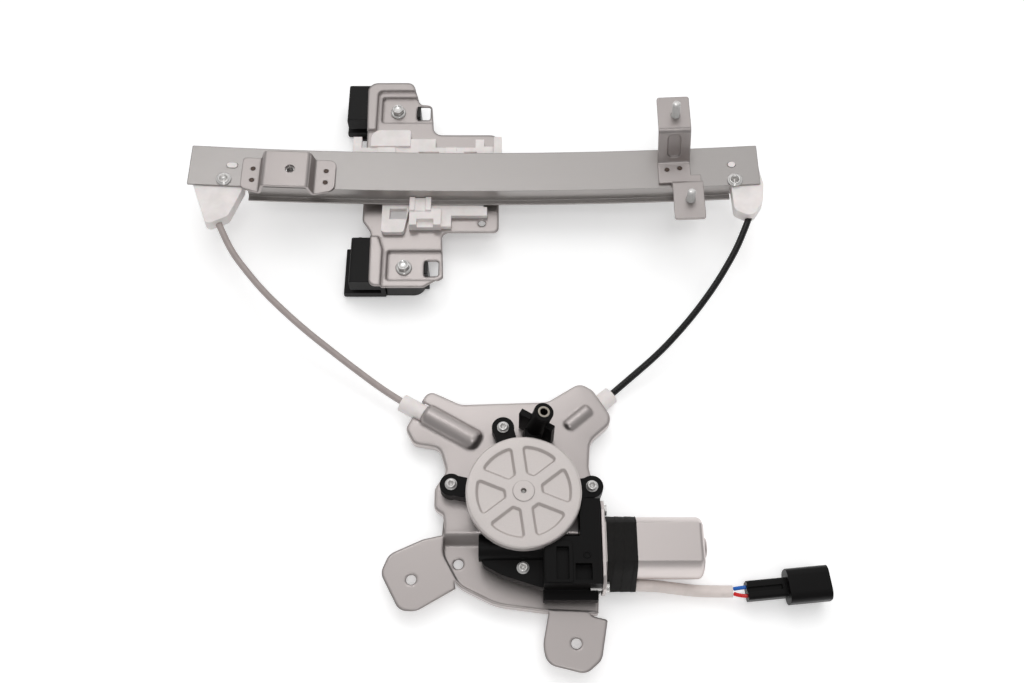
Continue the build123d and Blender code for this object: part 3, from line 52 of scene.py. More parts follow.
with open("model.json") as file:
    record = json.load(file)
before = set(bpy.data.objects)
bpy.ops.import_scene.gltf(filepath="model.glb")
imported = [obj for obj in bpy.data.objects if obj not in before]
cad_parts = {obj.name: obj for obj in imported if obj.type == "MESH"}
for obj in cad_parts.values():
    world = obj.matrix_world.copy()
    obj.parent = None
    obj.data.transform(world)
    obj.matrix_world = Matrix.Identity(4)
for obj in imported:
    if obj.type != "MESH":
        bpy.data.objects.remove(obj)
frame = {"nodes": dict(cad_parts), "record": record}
CAD_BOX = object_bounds()
NODES = frame["nodes"]
MM = 0.001

# The guide rail is bowed about an axis along Y, high above the middle of its face. The brackets' places are
# measured along it, and the welds' from each bracket's middle.
RAIL_MIDDLE = (-35.0, 248.2, 42.0)
RAIL_RADIUS = 2300.0
LEFT_BRACKET = -138.0
RIGHT_BRACKET = 147.3
BRACKET_FOOT = 2.3
LEFT_WELDS = [(x, y) for x in (-25.5, 28.0) for y in (-12.5, -2.5)]
RIGHT_WELDS = [(-5.2, -2.5), (4.1, -1.6)]

# Screws and bolts, in millimetres: place, height of the seat, and height of the shank's tip.
GEARBOX_SCREWS = [(-47.9, 10.4, 26.0, 7.0), (-13.6, 50.8, 26.0, 7.0), (45.4, 9.0, 26.0, 7.0),
                  (-0.5, -45.5, 26.0, 3.0)]
CLAMP_BOLTS = [(-97.0, 318.0, 22.0, 0.8), (-86.8, 177.5, 22.0, 0.8)]
# Studs: place and height of the seat from the right bracket's middle, and how far the thread stands out.
STUDS = [(1.2, 27.9, 27.3, 13.0), (9.1, -34.7, 11.3, 10.0)]
# Threads: outside radius, and depth of the groove. Each pitch has some rows of points, and a power under 1
# widens the groove. The bevelled tip starts a little inside the groove and grows by its slope.
M6_THREAD = (3.0, 0.45)
SCREW_THREAD = (2.4, 0.4)
THREAD_ROWS = 9
GROOVE_POWER = 0.8
TIP_INSET = 0.3
TIP_SLOPE = 1.1
# Hex heads: width across flats, and turn in radians. Star recesses: reach, and how deep their lobes are.
HEX_ACROSS = 8.0
HEX_TURN = 0.35
RECESS_REACH = 1.8
RECESS_DEPTH = 0.13
# Rivets of the cable guides: place on the guide, and the guide's place along the rail.
RIVETS = [(2.8, -11.4, -187.0), (-10.1, -12.7, 201.0)]
RIVET_ENDS = (-12.0, 0.15)
SPRING_ENDS = [(-34.35, 45.81, 13.0), (-62.23, 61.92, 13.0)]
SPRING_RADIUS = 5.9
TURN_POINTS = 20

# Cords: the same points as the solids follow.
SLEEVE_ROUTE = [(64.0, -54.0, 15.0), (82.0, -54.0, 15.0), (99.0, -54.9, 9.4), (117.0, -56.4, 7.4),
                (135.6, -56.9, 10.4)]
BLUE_ROUTE = [(136.3, -55.3, 10.6), (140.2, -55.2, 13.4), (145.9, -54.6, 13.4)]
RED_ROUTE = [(136.3, -58.5, 10.6), (140.8, -60.9, 13.4), (146.5, -60.4, 13.4)]

# The motor's section: a circle cut by two flats, with the lead beside it. Places are (y, z).
MOTOR_AXIS = (-32.01, 24.0)
CAN_RADIUS = 19.75
CAN_FLAT = 15.5
LEAD_PLACE = (-54.0, 15.0)
TAPE_ENDS = (52.6, 72.0)
# The tape's pitch along the motor, how far its faces stand off the can and the lead, and its outside's lift.
TAPE_PITCH = 6.5
TAPE_OUTSIDE = 0.25
TAPE_INSIDE = 0.04
TAPE_LIFT = 0.02
# The tape's ripples: height, number round it, and radians for each millimetre along it. Then its points.
RIPPLE_HEIGHT = 0.05
RIPPLE_COUNT = 9
RIPPLE_RATE = 1.3
TAPE_WAYS = 720
TAPE_COLUMNS = 180
TAPE_ROWS = 70
# Least cosine between a ray and a direction whose support still counts.
LEAST_COSINE = 0.02

# The stage, in metres. The floor's glow grows from its first value to its second between two distances.
FLOOR_HALF = 6.0
FLOOR_DROP = 0.0002
FLOOR_REACH = (0.6, 2.4)
FLOOR_GLOW = (0.22, 1.0)
# The sky is brightest along one direction: the cosine of the angle to it gives the glow.
SKY_WAY = (-0.05, 0.68, 0.73)
SKY_COSINE = (0.60, 1.0)
SKY_GLOW = (0.36, 0.97)
# Lamps: name, place, size, watts, and whether metal mirrors it. All of them point at the same place.
LAMPS = [("key", (0.45, 0.55, 2.1), 1.5, 9.0, False), ("fill", (0.10, -0.90, 1.9), 1.5, 8.0, False),
         ("front", (0.00, -0.62, 2.1), 0.35, 3.2, True), ("strip", (-0.30, 1.22, 2.1), 0.50, 2.4, True)]
LAMP_AIM = (0, 0.1, 0)
# The camera's place and what it looks at, in millimetres, and its lens on a 36 mm sensor.
CAMERA_PLACE = (-7.526, -223.798, 722.071)
CAMERA_AIM = (-7.526, 113.748, 30.0)
CAMERA_LENS = 38.67
CAMERA_SENSOR = 36

# Shading: the angle above which an edge stays crisp, the distance in millimetres at which points are joined,
# and the range that most of a noise's values lie in.
CRISP_ANGLE = math.radians(32)
JOIN_REACH = 0.002
NOISE_RANGE = (0.3, 0.7)
BEVEL_SAMPLES = 8
BUMP_STRENGTH = 0.6


def linear(code):
    """sRGB hex to linear red, green and blue."""
    channels = [int(code[i:i + 2], 16) / 255 for i in (1, 3, 5)]
    return tuple(c / 12.92 if c <= 0.04045 else ((c + 0.055) / 1.055) ** 2.4 for c in channels)


def colour(name, text, code):
    """A setting that holds a colour."""
    return bpy.props.FloatVectorProperty(name=name, description=text, subtype="COLOR", size=3, min=0, max=1,
                                         default=linear(code))


def length(name, text, millimetres):
    """A setting that holds a length."""
    return bpy.props.FloatProperty(name=name, description=text, unit="LENGTH", min=0,
                                   default=millimetres * MM)


# ---------------------------------------------------------------- settings
class RegulatorSizes(bpy.types.PropertyGroup):
    stud_pitch: length("Stud pitch", "Distance from one thread to the next on the M6 studs and bolts", 1.0)
    screw_pitch: length("Screw pitch", "Distance between the threads of the gearbox screws", 1.6)
    weld_radius: length("Weld radius", "Radius of a spot weld's mark", 1.75)
    sleeve_radius: length("Sleeve radius", "Outside radius of the lead's sleeve", 3.9)
    wire_radius: length("Wire radius", "Outside radius of each wire", 1.25)
    tape_step: length("Tape step", "Height of the edge where the tape laps over itself", 0.28)
    edge_softness: length("Edge softness", "Radius to which sharp edges are shaded", 0.6)
    bend_softness: length("Bend softness", "Radius to which the bends of pressed sheet are shaded", 0.9)
    press_softness: length("Press softness", "Radius to which the deep-drawn plates are shaded", 2.8)
    thread_softness: length("Thread softness", "Radius to which threads and screw heads are shaded", 0.1)
    spring_wire: length("Spring wire", "Diameter of the tension spring's wire", 1.5)
    spring_pitch: length("Spring pitch", "Distance from one turn of the spring to the next", 2.5)


class RegulatorColours(bpy.types.PropertyGroup):
    pressed_steel: colour("Pressed steel", "Zinc-plated sheet of the plates and brackets", "#B5AEAC")
    rail_steel: colour("Rail steel", "Zinc-plated sheet of the guide rail", "#A8A4A2")
    cover_paint: colour("Cover paint", "Silver paint of the gearbox cover", "#D2CBC8")
    zinc: colour("Bright zinc", "Plating of screws, studs and rivets", "#E6E4E2")
    acetal: colour("Acetal", "White plastic of the guides and the slider", "#EBE5E3")
    black_plastic: colour("Black plastic", "Moulded gearbox", "#0C0B0B")
    rubber: colour("Rubber", "Glass grips", "#121111")
    grey_jacket: colour("Grey jacket", "Left conduit", "#A79C99")
    sleeve: colour("Sleeve", "Sleeve of the motor's lead", "#E2D7D2")
    blue: colour("Blue wire", "Insulation of the blue wire", "#1565C0")
    red: colour("Red wire", "Insulation of the red wire", "#D81F1F")
    floor: colour("Floor", "Plain floor", "#FFFFFF")


# ---------------------------------------------------------------- meshes from arrays
def skin(name, shells, smooth=True):
    """One mesh from several grids of points, each (rows, columns, 3) in millimetres. The columns run round
    and close on themselves. Each shell is closed by its own end rows, whose points all lie in one place."""
    verts, faces, start = [], [], 0
    for points in shells:
        rows, columns, _ = points.shape
        index = start + np.arange(rows * columns).reshape(rows, columns)
        after = np.roll(index, -1, axis=1)
        quads = np.stack([index[:-1], after[:-1], after[1:], index[1:]], axis=-1).reshape(-1, 4)
        verts.append(points.reshape(-1, 3))
        faces.append(quads)
        start += rows * columns
    mesh = bpy.data.meshes.new(name)
    mesh.from_pydata((np.concatenate(verts) * MM).tolist(), [], np.concatenate(faces).tolist())
    mesh.polygons.foreach_set("use_smooth", np.full(len(mesh.polygons), smooth))
    piece = bpy.data.objects.new(name, mesh)
    bpy.context.scene.collection.objects.link(piece)
    clean(piece)
    return piece


def clean(piece):
    """Joins points that coincide and turns every face outwards."""
    shape = bmesh.new()
    shape.from_mesh(piece.data)
    bmesh.ops.remove_doubles(shape, verts=shape.verts, dist=1e-6)
    bmesh.ops.dissolve_degenerate(shape, edges=shape.edges, dist=1e-7)
    bmesh.ops.recalc_face_normals(shape, faces=shape.faces)
    shape.to_mesh(piece.data)
    shape.free()


def upright(points, place, axis):
    """Moves points made about +Z at (0, 0, 0) to a place, with +Z along an axis."""
    axis = np.array(axis, float) / np.linalg.norm(axis)
    side = np.cross((0.0, 1.0, 0.0), axis)
    side /= np.linalg.norm(side)
    across = np.cross(axis, side)
    return np.asarray(place) + points @ np.stack([side, across, axis])


def on_rail(x, y, z, bracket):
    """A point made about a bracket's middle, and the way up there: the angle is the place along the rail over
    its radius, and the point turns by it about the rail's axis."""
    angle = bracket / RAIL_RADIUS
    down = z - RAIL_RADIUS
    middle = np.array(RAIL_MIDDLE)
    moved = np.array([x * math.cos(angle) - down * math.sin(angle), y,
                      RAIL_RADIUS + down * math.cos(angle) + x * math.sin(angle)])
    return middle + moved, (-math.sin(angle), 0.0, math.cos(angle))


def turned(profile, columns=48, shape=None):
    """Surface of revolution. The profile is rows of (radius, height), and shape(angle, radius) gives the
    radius to use."""
    profile = np.asarray(profile, float)
    angle = np.linspace(0, 2 * np.pi, columns, endpoint=False)
    radius = np.repeat(profile[:, :1], columns, axis=1)
    if shape is not None:
        radius = shape(angle[None, :], radius)
    heights = np.repeat(profile[:, 1:], columns, axis=1)
    return np.stack([radius * np.cos(angle), radius * np.sin(angle), heights], axis=-1)


def thread(size, pitch, low, high, columns=32):
    """Threaded shank between two heights: the radius is the outer one less a rounded V whose phase is the
    height over the pitch less the angle over a turn. The groove starts over the first pitch, and the tip is
    bevelled."""
    radius, depth = size
    rows = int((high - low) / pitch * THREAD_ROWS) + 2
    angle = np.linspace(0, 2 * np.pi, columns, endpoint=False)
    heights = np.linspace(low, high, rows)[:, None]
    phase = (heights / pitch - angle / (2 * np.pi)) % 1.0
    groove = depth * (0.5 + 0.5 * np.cos(2 * np.pi * phase)) ** GROOVE_POWER
    fade = np.clip((heights - low) / pitch, 0, 1)
    outer = radius - groove * fade
    tip = radius - depth - TIP_INSET + (high - heights) * TIP_SLOPE
    outer = np.minimum(outer, tip)
    ring = np.stack([outer * np.cos(angle), outer * np.sin(angle), np.broadcast_to(heights, outer.shape)],
                    axis=-1)
    close = np.zeros((1, columns, 3))
    close[..., 2] = ring[-1, :, 2]
    return np.concatenate([ring, close])


def hexagon(across):
    """Shape for turned(): no radius reaches past a hexagon of that width across its flats."""
    def limit(angle, radius):
        flat = across / 2 / np.cos((angle + np.pi / 6) % (np.pi / 3) - np.pi / 6)
        return np.minimum(radius, flat)
    return limit


def lobes(radius_limit, depth):
    """Shape for turned(): six round lobes on every radius under a limit, as in a star recess."""
    def wave(angle, radius):
        inside = (radius > 0.01) & (radius < radius_limit)
        return np.where(inside, radius * (1 + depth * np.cos(6 * angle)), radius)
    return wave


def tube_shell(path, radius, columns=16):
    """Tube along a path of points. Rings stand square to the path, turned as little as possible from one to
    the next."""
    path = np.asarray(path, float)
    along = np.gradient(path, axis=0)
    along /= np.linalg.norm(along, axis=1)[:, None]
    side = np.empty_like(path)
    side[0] = np.cross(along[0], (0.0, 0.0, 1.0) if abs(along[0][2]) < 0.9 else (0.0, 1.0, 0.0))
    for i in range(1, len(path)):
        side[i] = side[i - 1] - along[i] * (side[i - 1] @ along[i])
    side /= np.linalg.norm(side, axis=1)[:, None]
    up = np.cross(along, side)
    angle = np.linspace(0, 2 * np.pi, columns, endpoint=False)
    ring = np.cos(angle)[None, :, None] * side[:, None] + np.sin(angle)[None, :, None] * up[:, None]
    body = path[:, None] + float(radius) * ring
    ends = [np.repeat(path[i][None, None], columns, axis=1) for i in (0, -1)]
    return np.concatenate([ends[0], body, ends[1]])


# ---------------------------------------------------------------- materials
def node(tree, kind, inputs=None, **settings):
    """Adds one node with its settings; an input is a value, or another node's output to link."""
    made = tree.nodes.new(kind)
    for name, value in settings.items():
        setattr(made, name, value)
    for name, value in (inputs or {}).items():
        socket = made.inputs[name]
        if isinstance(value, bpy.types.NodeSocket):
            tree.links.new(value, socket)
        else:
            socket.default_value = value
    return made


def blank(name):
    """A material with an empty tree."""
    material = bpy.data.materials.new(name)
    material.use_nodes = True
    material.node_tree.nodes.clear()
    return material, material.node_tree


def place(tree, scale):
    """Object coordinates, stretched by a scale along each axis."""
    where = node(tree, "ShaderNodeTexCoord")
    stretched = node(tree, "ShaderNodeMapping", {"Vector": where.outputs["Object"], "Scale": scale})
    return stretched.outputs["Vector"]


def grains(tree, size, scale=(1, 1, 1), detail=3.0, roughness=0.55):
    """Noise whose grains are about a size across, in millimetres."""
    spread = place(tree, scale)
    noise = node(tree, "ShaderNodeTexNoise", {"Vector": spread, "Scale": 1 / (size * MM), "Detail": detail,
                                              "Roughness": roughness})
    return noise.outputs["Fac"]


def spread_over(tree, value, given, wanted, **settings):
    """A value that goes from one range to another."""
    spread = node(tree, "ShaderNodeMapRange", {"Value": value, "From Min": given[0], "From Max": given[1],
                                               "To Min": wanted[0], "To Max": wanted[1]}, **settings)
    return spread.outputs["Result"]


def between(tree, value, low, high):
    """A noise value spread from low to high."""
    return spread_over(tree, value, NOISE_RANGE, (low, high))


def tinted(tree, value, colour_a, colour_b):
    """A colour that goes from one to another with a value."""
    mix = node(tree, "ShaderNodeMix", {"Factor": value, "A": (*colour_a, 1), "B": (*colour_b, 1)},
               data_type="RGBA")
    return mix.outputs["Result"]


def shade(base, share):
    """A colour made darker or lighter by a share."""
    return tuple(min(1.0, c * share) for c in base)


def surface(tree, colour_output, roughness, bump=None, bump_depth=0.02, edges="edge_softness", **inputs):
    """Principled surface with edges softened to one of the sizes; bump_depth is in millimetres."""
    soft = getattr(bpy.context.scene.regulator_sizes, edges)
    rounded = node(tree, "ShaderNodeBevel", {"Radius": soft}, samples=BEVEL_SAMPLES)
    normal = rounded.outputs["Normal"]
    if bump is not None:
        raised = node(tree, "ShaderNodeBump", {"Height": bump, "Distance": bump_depth * MM,
                                               "Strength": BUMP_STRENGTH, "Normal": normal})
        normal = raised.outputs["Normal"]
    settings = {"Base Color": colour_output, "Roughness": roughness, "Normal": normal}
    settings.update({name.replace("_", " "): value for name, value in inputs.items()})
    shader = node(tree, "ShaderNodeBsdfPrincipled", settings)
    node(tree, "ShaderNodeOutputMaterial", {"Surface": shader.outputs["BSDF"]})


def zinc_plated_pressing(name, base, streak=(1, 1, 1), edges="bend_softness"):
    """Cold-rolled steel sheet, pressed and zinc plated: a dull, even satin metal with a slow change of tone
    over a hand's width, and fine rolling grain that a streak scale draws out along the sheet."""
    material, tree = blank(name)
    clouds = grains(tree, 45.0, detail=2)
    grain = grains(tree, 0.7, streak, detail=4, roughness=0.7)
    both = node(tree, "ShaderNodeMath", {0: clouds, 1: grain, 2: 0.3}, operation="MULTIPLY_ADD")
    mean = node(tree, "ShaderNodeMath", {0: both.outputs[0], 1: 0.25}, operation="ADD").outputs[0]
    tint = tinted(tree, between(tree, mean, 0, 1), shade(base, 0.93), shade(base, 1.04))
    rough = between(tree, grain, 0.33, 0.41)
    surface(tree, tint, rough, grain, 0.012, edges, Metallic=0.95)
    return material


def silver_paint(name, base):
    """Sprayed silver paint over a pressed steel cover: metal flake under a satin film, and slight orange
    peel."""
    material, tree = blank(name)
    flake = grains(tree, 0.35, detail=2)
    peel = grains(tree, 1.8, detail=2)
    tint = tinted(tree, between(tree, flake, 0, 1), shade(base, 0.94), shade(base, 1.04))
    rough = between(tree, flake, 0.40, 0.50)
    surface(tree, tint, rough, peel, 0.015, "bend_softness", Metallic=0.6)
    return material


def bright_zinc(name, base):
    """Bright zinc plating on screws and studs: a smooth, lively metal with small marks from the driver."""
    material, tree = blank(name)
    marks = grains(tree, 0.5, detail=4, roughness=0.7)
    tint = tinted(tree, between(tree, marks, 0, 1), shade(base, 0.84), base)
    surface(tree, tint, between(tree, marks, 0.12, 0.26), marks, 0.01, "thread_softness", Metallic=0.7)
    return material


def moulded_plastic(name, base, rough, grain_size=0.5, depth=0.02, scatter=0.0, gloss=0.5):
    """Injection-moulded plastic: an even colour with a faint flow variation, and a mould's fine texture."""
    material, tree = blank(name)
    flow = grains(tree, 9.0, detail=2)
    grain = grains(tree, grain_size, detail=3)
    tint = tinted(tree, between(tree, flow, 0, 1), shade(base, 0.94), shade(base, 1.05))
    more = {"Subsurface_Weight": scatter, "Subsurface_Scale": 0.8 * MM} if scatter else {}
    spread = between(tree, grain, rough - 0.06, rough + 0.06)
    surface(tree, tint, spread, grain, depth, Specular_IOR_Level=gloss, **more)
    return material


def cloth_tape(name, base):
    """Woven harness tape: matt cotton with a plain weave, drawn coarser than its real 0.3 mm to show."""
    material, tree = blank(name)
    across = place(tree, (1, 1, 1))
    weave = node(tree, "ShaderNodeTexChecker", {"Vector": across, "Scale": 1 / (0.6 * MM)}).outputs["Fac"]
    fuzz = grains(tree, 0.6, detail=4)
    tint = tinted(tree, between(tree, fuzz, 0, 1), shade(base, 0.8), shade(base, 1.3))
    surface(tree, tint, 0.78, weave, 0.05, Sheen_Weight=0.06, Sheen_Roughness=0.5, Specular_IOR_Level=0.2)
    return material


def machined_metal(name, base, rough=0.3):
    """Turned or ground metal: fine lines square to X and a clean shine."""
    material, tree = blank(name)
    lines = grains(tree, 0.4, (6, 1, 1), detail=3)
    tint = tinted(tree, between(tree, lines, 0, 1), shade(base, 0.85), base)
    surface(tree, tint, between(tree, lines, rough - 0.06, rough + 0.08), lines, 0.01, Metallic=1.0)
    return material


def weld_mark(name, base):
    """Spot weld: steel browned in patches by its heat, under the plating's haze."""
    material, tree = blank(name)
    burn = grains(tree, 0.8, detail=3)
    tint = tinted(tree, between(tree, burn, 0, 1), shade(base, 0.55), shade(base, 1.1))
    surface(tree, tint, between(tree, burn, 0.45, 0.62), burn, 0.04, Metallic=0.8)
    return material


def sintered_block(name, base, rough=0.7):
    """Pressed and fired block, such as ferrite or carbon: dark, matt and finely pitted."""
    material, tree = blank(name)
    pits = grains(tree, 0.4, detail=5, roughness=0.7)
    tint = tinted(tree, between(tree, pits, 0, 1), shade(base, 0.75), shade(base, 1.2))
    surface(tree, tint, rough, pits, 0.04)
    return material


def materials():
    """Every finish by the record's slot name, made once."""
    known = bpy.context.scene.get("regulator_made")
    tints = bpy.context.scene.regulator_colours
    steel, rail = tuple(tints.pressed_steel), tuple(tints.rail_steel)
    zinc, black = tuple(tints.zinc), tuple(tints.black_plastic)
    make = {
        "rail_steel": lambda: zinc_plated_pressing("zinc_plated_rail", rail, (0.06, 1, 1)),
        # Painted shade: the brackets' steel is the pressed steel made darker, for the dimmer light that falls
        # on the right bracket.
        "bracket_steel": lambda: zinc_plated_pressing("zinc_plated_bracket_painted_shade", shade(steel, 0.9), (1, 0.3, 1)),
        # Painted light: the motor plate's steel is the pressed steel made lighter, for the brighter light on
        # its top.
        "plate_steel": lambda: zinc_plated_pressing("zinc_plated_plate_painted_light", shade(steel, 1.10), (1, 0.5, 1),
                                                    "press_softness"),
        "carrier_steel": lambda: zinc_plated_pressing("zinc_plated_carrier", shade(steel, 0.97), (0.5, 1, 1),
                                                      "press_softness"),
        "fastener_zinc": lambda: bright_zinc("bright_zinc", zinc),
        "cover_steel": lambda: silver_paint("silver_paint", tuple(tints.cover_paint)),
        "can_steel": lambda: zinc_plated_pressing("zinc_plated_can", shade(steel, 1.45), (0.2, 1, 1)),
        "inner_steel": lambda: machined_metal("ground_steel", linear("#B0AEAB")),
        "cable_steel": lambda: machined_metal("stranded_wire", linear("#8E8C89"), 0.4),
        "jaw_black": lambda: moulded_plastic("electrocoated_jaw", linear("#161414"), 0.38, 0.8, 0.015,
                                             gloss=0.3),
        "pom_white": lambda: moulded_plastic("natural_acetal", tuple(tints.acetal), 0.42, 0.6, 0.015, 0.12),
        "conduit_grey": lambda: moulded_plastic("grey_jacket", tuple(tints.grey_jacket), 0.40, 1.2, 0.02),
        "conduit_black": lambda: moulded_plastic("black_jacket", linear("#121212"), 0.28, 1.2, gloss=0.35),
        "housing_black": lambda: moulded_plastic("glass_filled_nylon", black, 0.42, 0.5, 0.03, gloss=0.13),
        "drum_plastic": lambda: moulded_plastic("acetal_wheel", linear("#E2DCCB"), 0.40, 0.6, 0.015),
        "grip_rubber": lambda: moulded_plastic("moulded_rubber", tuple(tints.rubber), 0.52, 0.7, 0.03,
                                               gloss=0.22),
        "damper_rubber": lambda: moulded_plastic("damper_rubber", linear("#2A2725"), 0.70, 0.7, 0.03),
        "tape_black": lambda: cloth_tape("cloth_tape", linear("#181716")),
        "sleeve_grey": lambda: moulded_plastic("vinyl_sleeve", tuple(tints.sleeve), 0.36, 2.2, 0.10),
        "wire_blue": lambda: moulded_plastic("blue_insulation", tuple(tints.blue), 0.32, 0.8, 0.01),
        "wire_red": lambda: moulded_plastic("red_insulation", tuple(tints.red), 0.32, 0.8, 0.01),
        "plug_black": lambda: moulded_plastic("nylon_plug", linear("#0E0D0D"), 0.34, 0.5, gloss=0.14),
        "plug_grey": lambda: moulded_plastic("nylon_insert", linear("#8C8886"), 0.45, 0.5, 0.02),
        "terminal_brass": lambda: machined_metal("tinned_brass", linear("#D9C79A"), 0.25),
        "insert_steel": lambda: machined_metal("plated_insert", linear("#B9B2A6"), 0.30),
        "bush_bronze": lambda: machined_metal("sintered_bronze", linear("#A8763E"), 0.40),
        "commutator_copper": lambda: machined_metal("copper_bars", linear("#C8744A"), 0.28),
        "brush_carbon": lambda: sintered_block("carbon_brush", linear("#2B2A2A")),
        "magnet_ferrite": lambda: sintered_block("ferrite_magnet", linear("#3A3837")),
        "core_laminated": lambda: machined_metal("stacked_laminations", linear("#8A8784"), 0.45),
        "holder_plastic": lambda: moulded_plastic("phenolic_holder", linear("#3A2B22"), 0.5, 0.5, 0.02),
    }
    made = dict(known) if known else {}
    for slot_name, build in make.items():
        if slot_name not in made:
            made[slot_name] = build().name
    bpy.context.scene["regulator_made"] = made
    return {slot_name: bpy.data.materials[name] for slot_name, name in made.items()}


def dress(piece, body, slot_name):
    """Gives a new piece its body, its slot and that slot's finish."""
    piece.data.materials.clear()
    piece.data.materials.append(materials()[slot_name])
    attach(piece, body)
    return piece


# ---------------------------------------------------------------- operators
class REGULATOR_OT_finishes(bpy.types.Operator):
    """Finish every solid with the material of its slot, with its curved faces smooth and its edges crisp"""
    bl_idname = "regulator.finishes"
    bl_label = "Finishes"

    def execute(self, context):
        made = materials()
        for part in frame["record"]["subparts"]:
            solid = NODES[part["node"]]
            solid.data.materials.clear()
            solid.data.materials.append(made[part["material_slot"]])
            weld = solid.modifiers.new("join_facets", "WELD")
            weld.merge_threshold = JOIN_REACH * MM
            solid.data.polygons.foreach_set("use_smooth", np.full(len(solid.data.polygons), True))
            edges = solid.modifiers.new("crisp_edges", "EDGE_SPLIT")
            edges.split_angle = CRISP_ANGLE
        return {"FINISHED"}


class REGULATOR_OT_studs(bpy.types.Operator):
    """Make the two threaded studs of the right bracket"""
    bl_idname = "regulator.studs"
    bl_label = "Bracket studs"

    def execute(self, context):
        pitch = context.scene.regulator_sizes.stud_pitch / MM
        shells = []
        for x, y, rise, reach in STUDS:
            head = turned([(0, -4), (4.7, -4), (5.5, -3.4), (5.5, -2), (3.4, -2), (3.4, 0), (3.0, 0.02),
                           (3.0, 0.6), (0, 0.6)])
            shank = thread(M6_THREAD, pitch, 0.5, reach)
            foot, axis = on_rail(x, y, rise, RIGHT_BRACKET)
            shells += [upright(head, foot, axis), upright(shank, foot, axis)]
        piece = skin("threaded_studs", shells)
        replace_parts(dress(piece, "frame", "fastener_zinc"), "bracket_studs")
        return {"FINISHED"}


class REGULATOR_OT_clamp_bolts(bpy.types.Operator):
    """Make the hex-head flange bolts of the glass clamps"""
    bl_idname = "regulator.clamp_bolts"
    bl_label = "Clamp bolts"

    def execute(self, context):
        pitch = context.scene.regulator_sizes.stud_pitch / MM
        cosine, sine = math.cos(HEX_TURN), math.sin(HEX_TURN)
        turn = np.array([[cosine, sine, 0], [-sine, cosine, 0], [0, 0, 1]])
        shells = []
        for x, y, seat, tip in CLAMP_BOLTS:
            flange = turned([(0, 0), (5.6, 0), (6.0, 0.25), (6.0, 0.7), (5.2, 1.15), (4.75, 1.3), (0, 1.3)])
            head = turned([(0, 1.2), (4.7, 1.2), (4.7, 4.7), (4.35, 5.2), (3.8, 5.5), (3.3, 5.45), (2.9, 5.0),
                           (1.6, 4.75), (0, 4.7)], shape=hexagon(HEX_ACROSS))
            shank = thread(M6_THREAD, pitch, 0, seat - tip)
            shank[..., 1:] *= -1
            shells += [flange + (x, y, seat), head @ turn + (x, y, seat), shank + (x, y, seat)]
        piece = skin("flange_bolts", shells)
        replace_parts(dress(piece, "carrier", "fastener_zinc"), "clamp_bolts")
        return {"FINISHED"}


class REGULATOR_OT_gearbox_screws(bpy.types.Operator):
    """Make the star-recess screws of the gearbox"""
    bl_idname = "regulator.gearbox_screws"
    bl_label = "Gearbox screws"

    def execute(self, context):
        pitch = context.scene.regulator_sizes.screw_pitch / MM
        shells = []
        for x, y, seat, tip in GEARBOX_SCREWS:
            head = turned([(0, 0), (3.9, 0), (4.1, 0.2), (4.1, 0.8), (3.8, 1.0), (3.3, 1.05), (3.2, 1.3),
                           (3.15, 2.5), (2.8, 2.95), (2.35, 3.0), (1.75, 2.95), (1.65, 2.6), (1.6, 1.2),
                           (0, 1.0)], shape=lobes(RECESS_REACH, RECESS_DEPTH))
            shank = thread(SCREW_THREAD, pitch, 0, seat - tip, columns=24)
            shank[..., 1:] *= -1
            shells += [head + (x, y, seat), shank + (x, y, seat)]
        piece = skin("star_screws", shells)
        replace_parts(dress(piece, "frame", "fastener_zinc"), "gearbox_screws")
        return {"FINISHED"}


class REGULATOR_OT_rivets(bpy.types.Operator):
    """Make the rivets that hold the cable guides: a closed one at the left, a hollow one at the right"""
    bl_idname = "regulator.rivets"
    bl_label = "Guide rivets"

    def execute(self, context):
        low, top = RIVET_ENDS
        tail = [(0, low - 1.6), (3.4, low - 1.5), (4, low - 1.1), (4, low), (2.4, low), (2.4, top),
                (5.2, top), (5.6, top + 0.2), (5.6, top + 0.55), (5.0, top + 0.8), (4.4, top + 0.85),
                (4.0, top + 1.3), (3.5, top + 1.5), (3.1, top + 1.35)]
        closed = [(2.7, top + 0.5), (2.5, top - 0.6), (2.0, top - 0.6), (1.95, top + 1.5), (1.7, top + 1.8),
                  (0, top + 1.95)]
        hollow = [(2.6, top + 0.7), (2.3, top - 0.4), (2.2, top - 4.5), (0, top - 4.6)]
        shells = []
        for (x, y, guide), head in zip(RIVETS, (closed, hollow)):
            foot, axis = on_rail(x, y, 0.0, guide)
            shells.append(upright(turned(tail + head, columns=56), foot, axis))
        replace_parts(dress(skin("rivet_heads", shells), "frame", "fastener_zinc"), "guide_rivets")
        return {"FINISHED"}


class REGULATOR_OT_welds(bpy.types.Operator):
    """Make the spot welds that hold the brackets on the rail"""
    bl_idname = "regulator.welds"
    bl_label = "Spot welds"

    def execute(self, context):
        reach = context.scene.regulator_sizes.weld_radius / MM
        shells = []
        spots = [(x, y, LEFT_BRACKET) for x, y in LEFT_WELDS]
        spots += [(x, y, RIGHT_BRACKET) for x, y in RIGHT_WELDS]
        ring = turned([(0, -0.30), (reach * 0.35, -0.32), (reach * 0.60, -0.22), (reach * 0.78, 0.04),
                       (reach * 0.90, 0.07), (reach, 0.0), (reach, -0.3), (0, -0.5)], columns=28)
        for x, y, bracket in spots:
            foot, axis = on_rail(x, y, BRACKET_FOOT, bracket)
            shells.append(upright(ring, foot, axis))
        piece = dress(skin("spot_welds", shells), "frame", "bracket_steel")
        piece.data.materials[0] = weld_mark("weld_nugget", linear("#6E6059"))
        return {"FINISHED"}


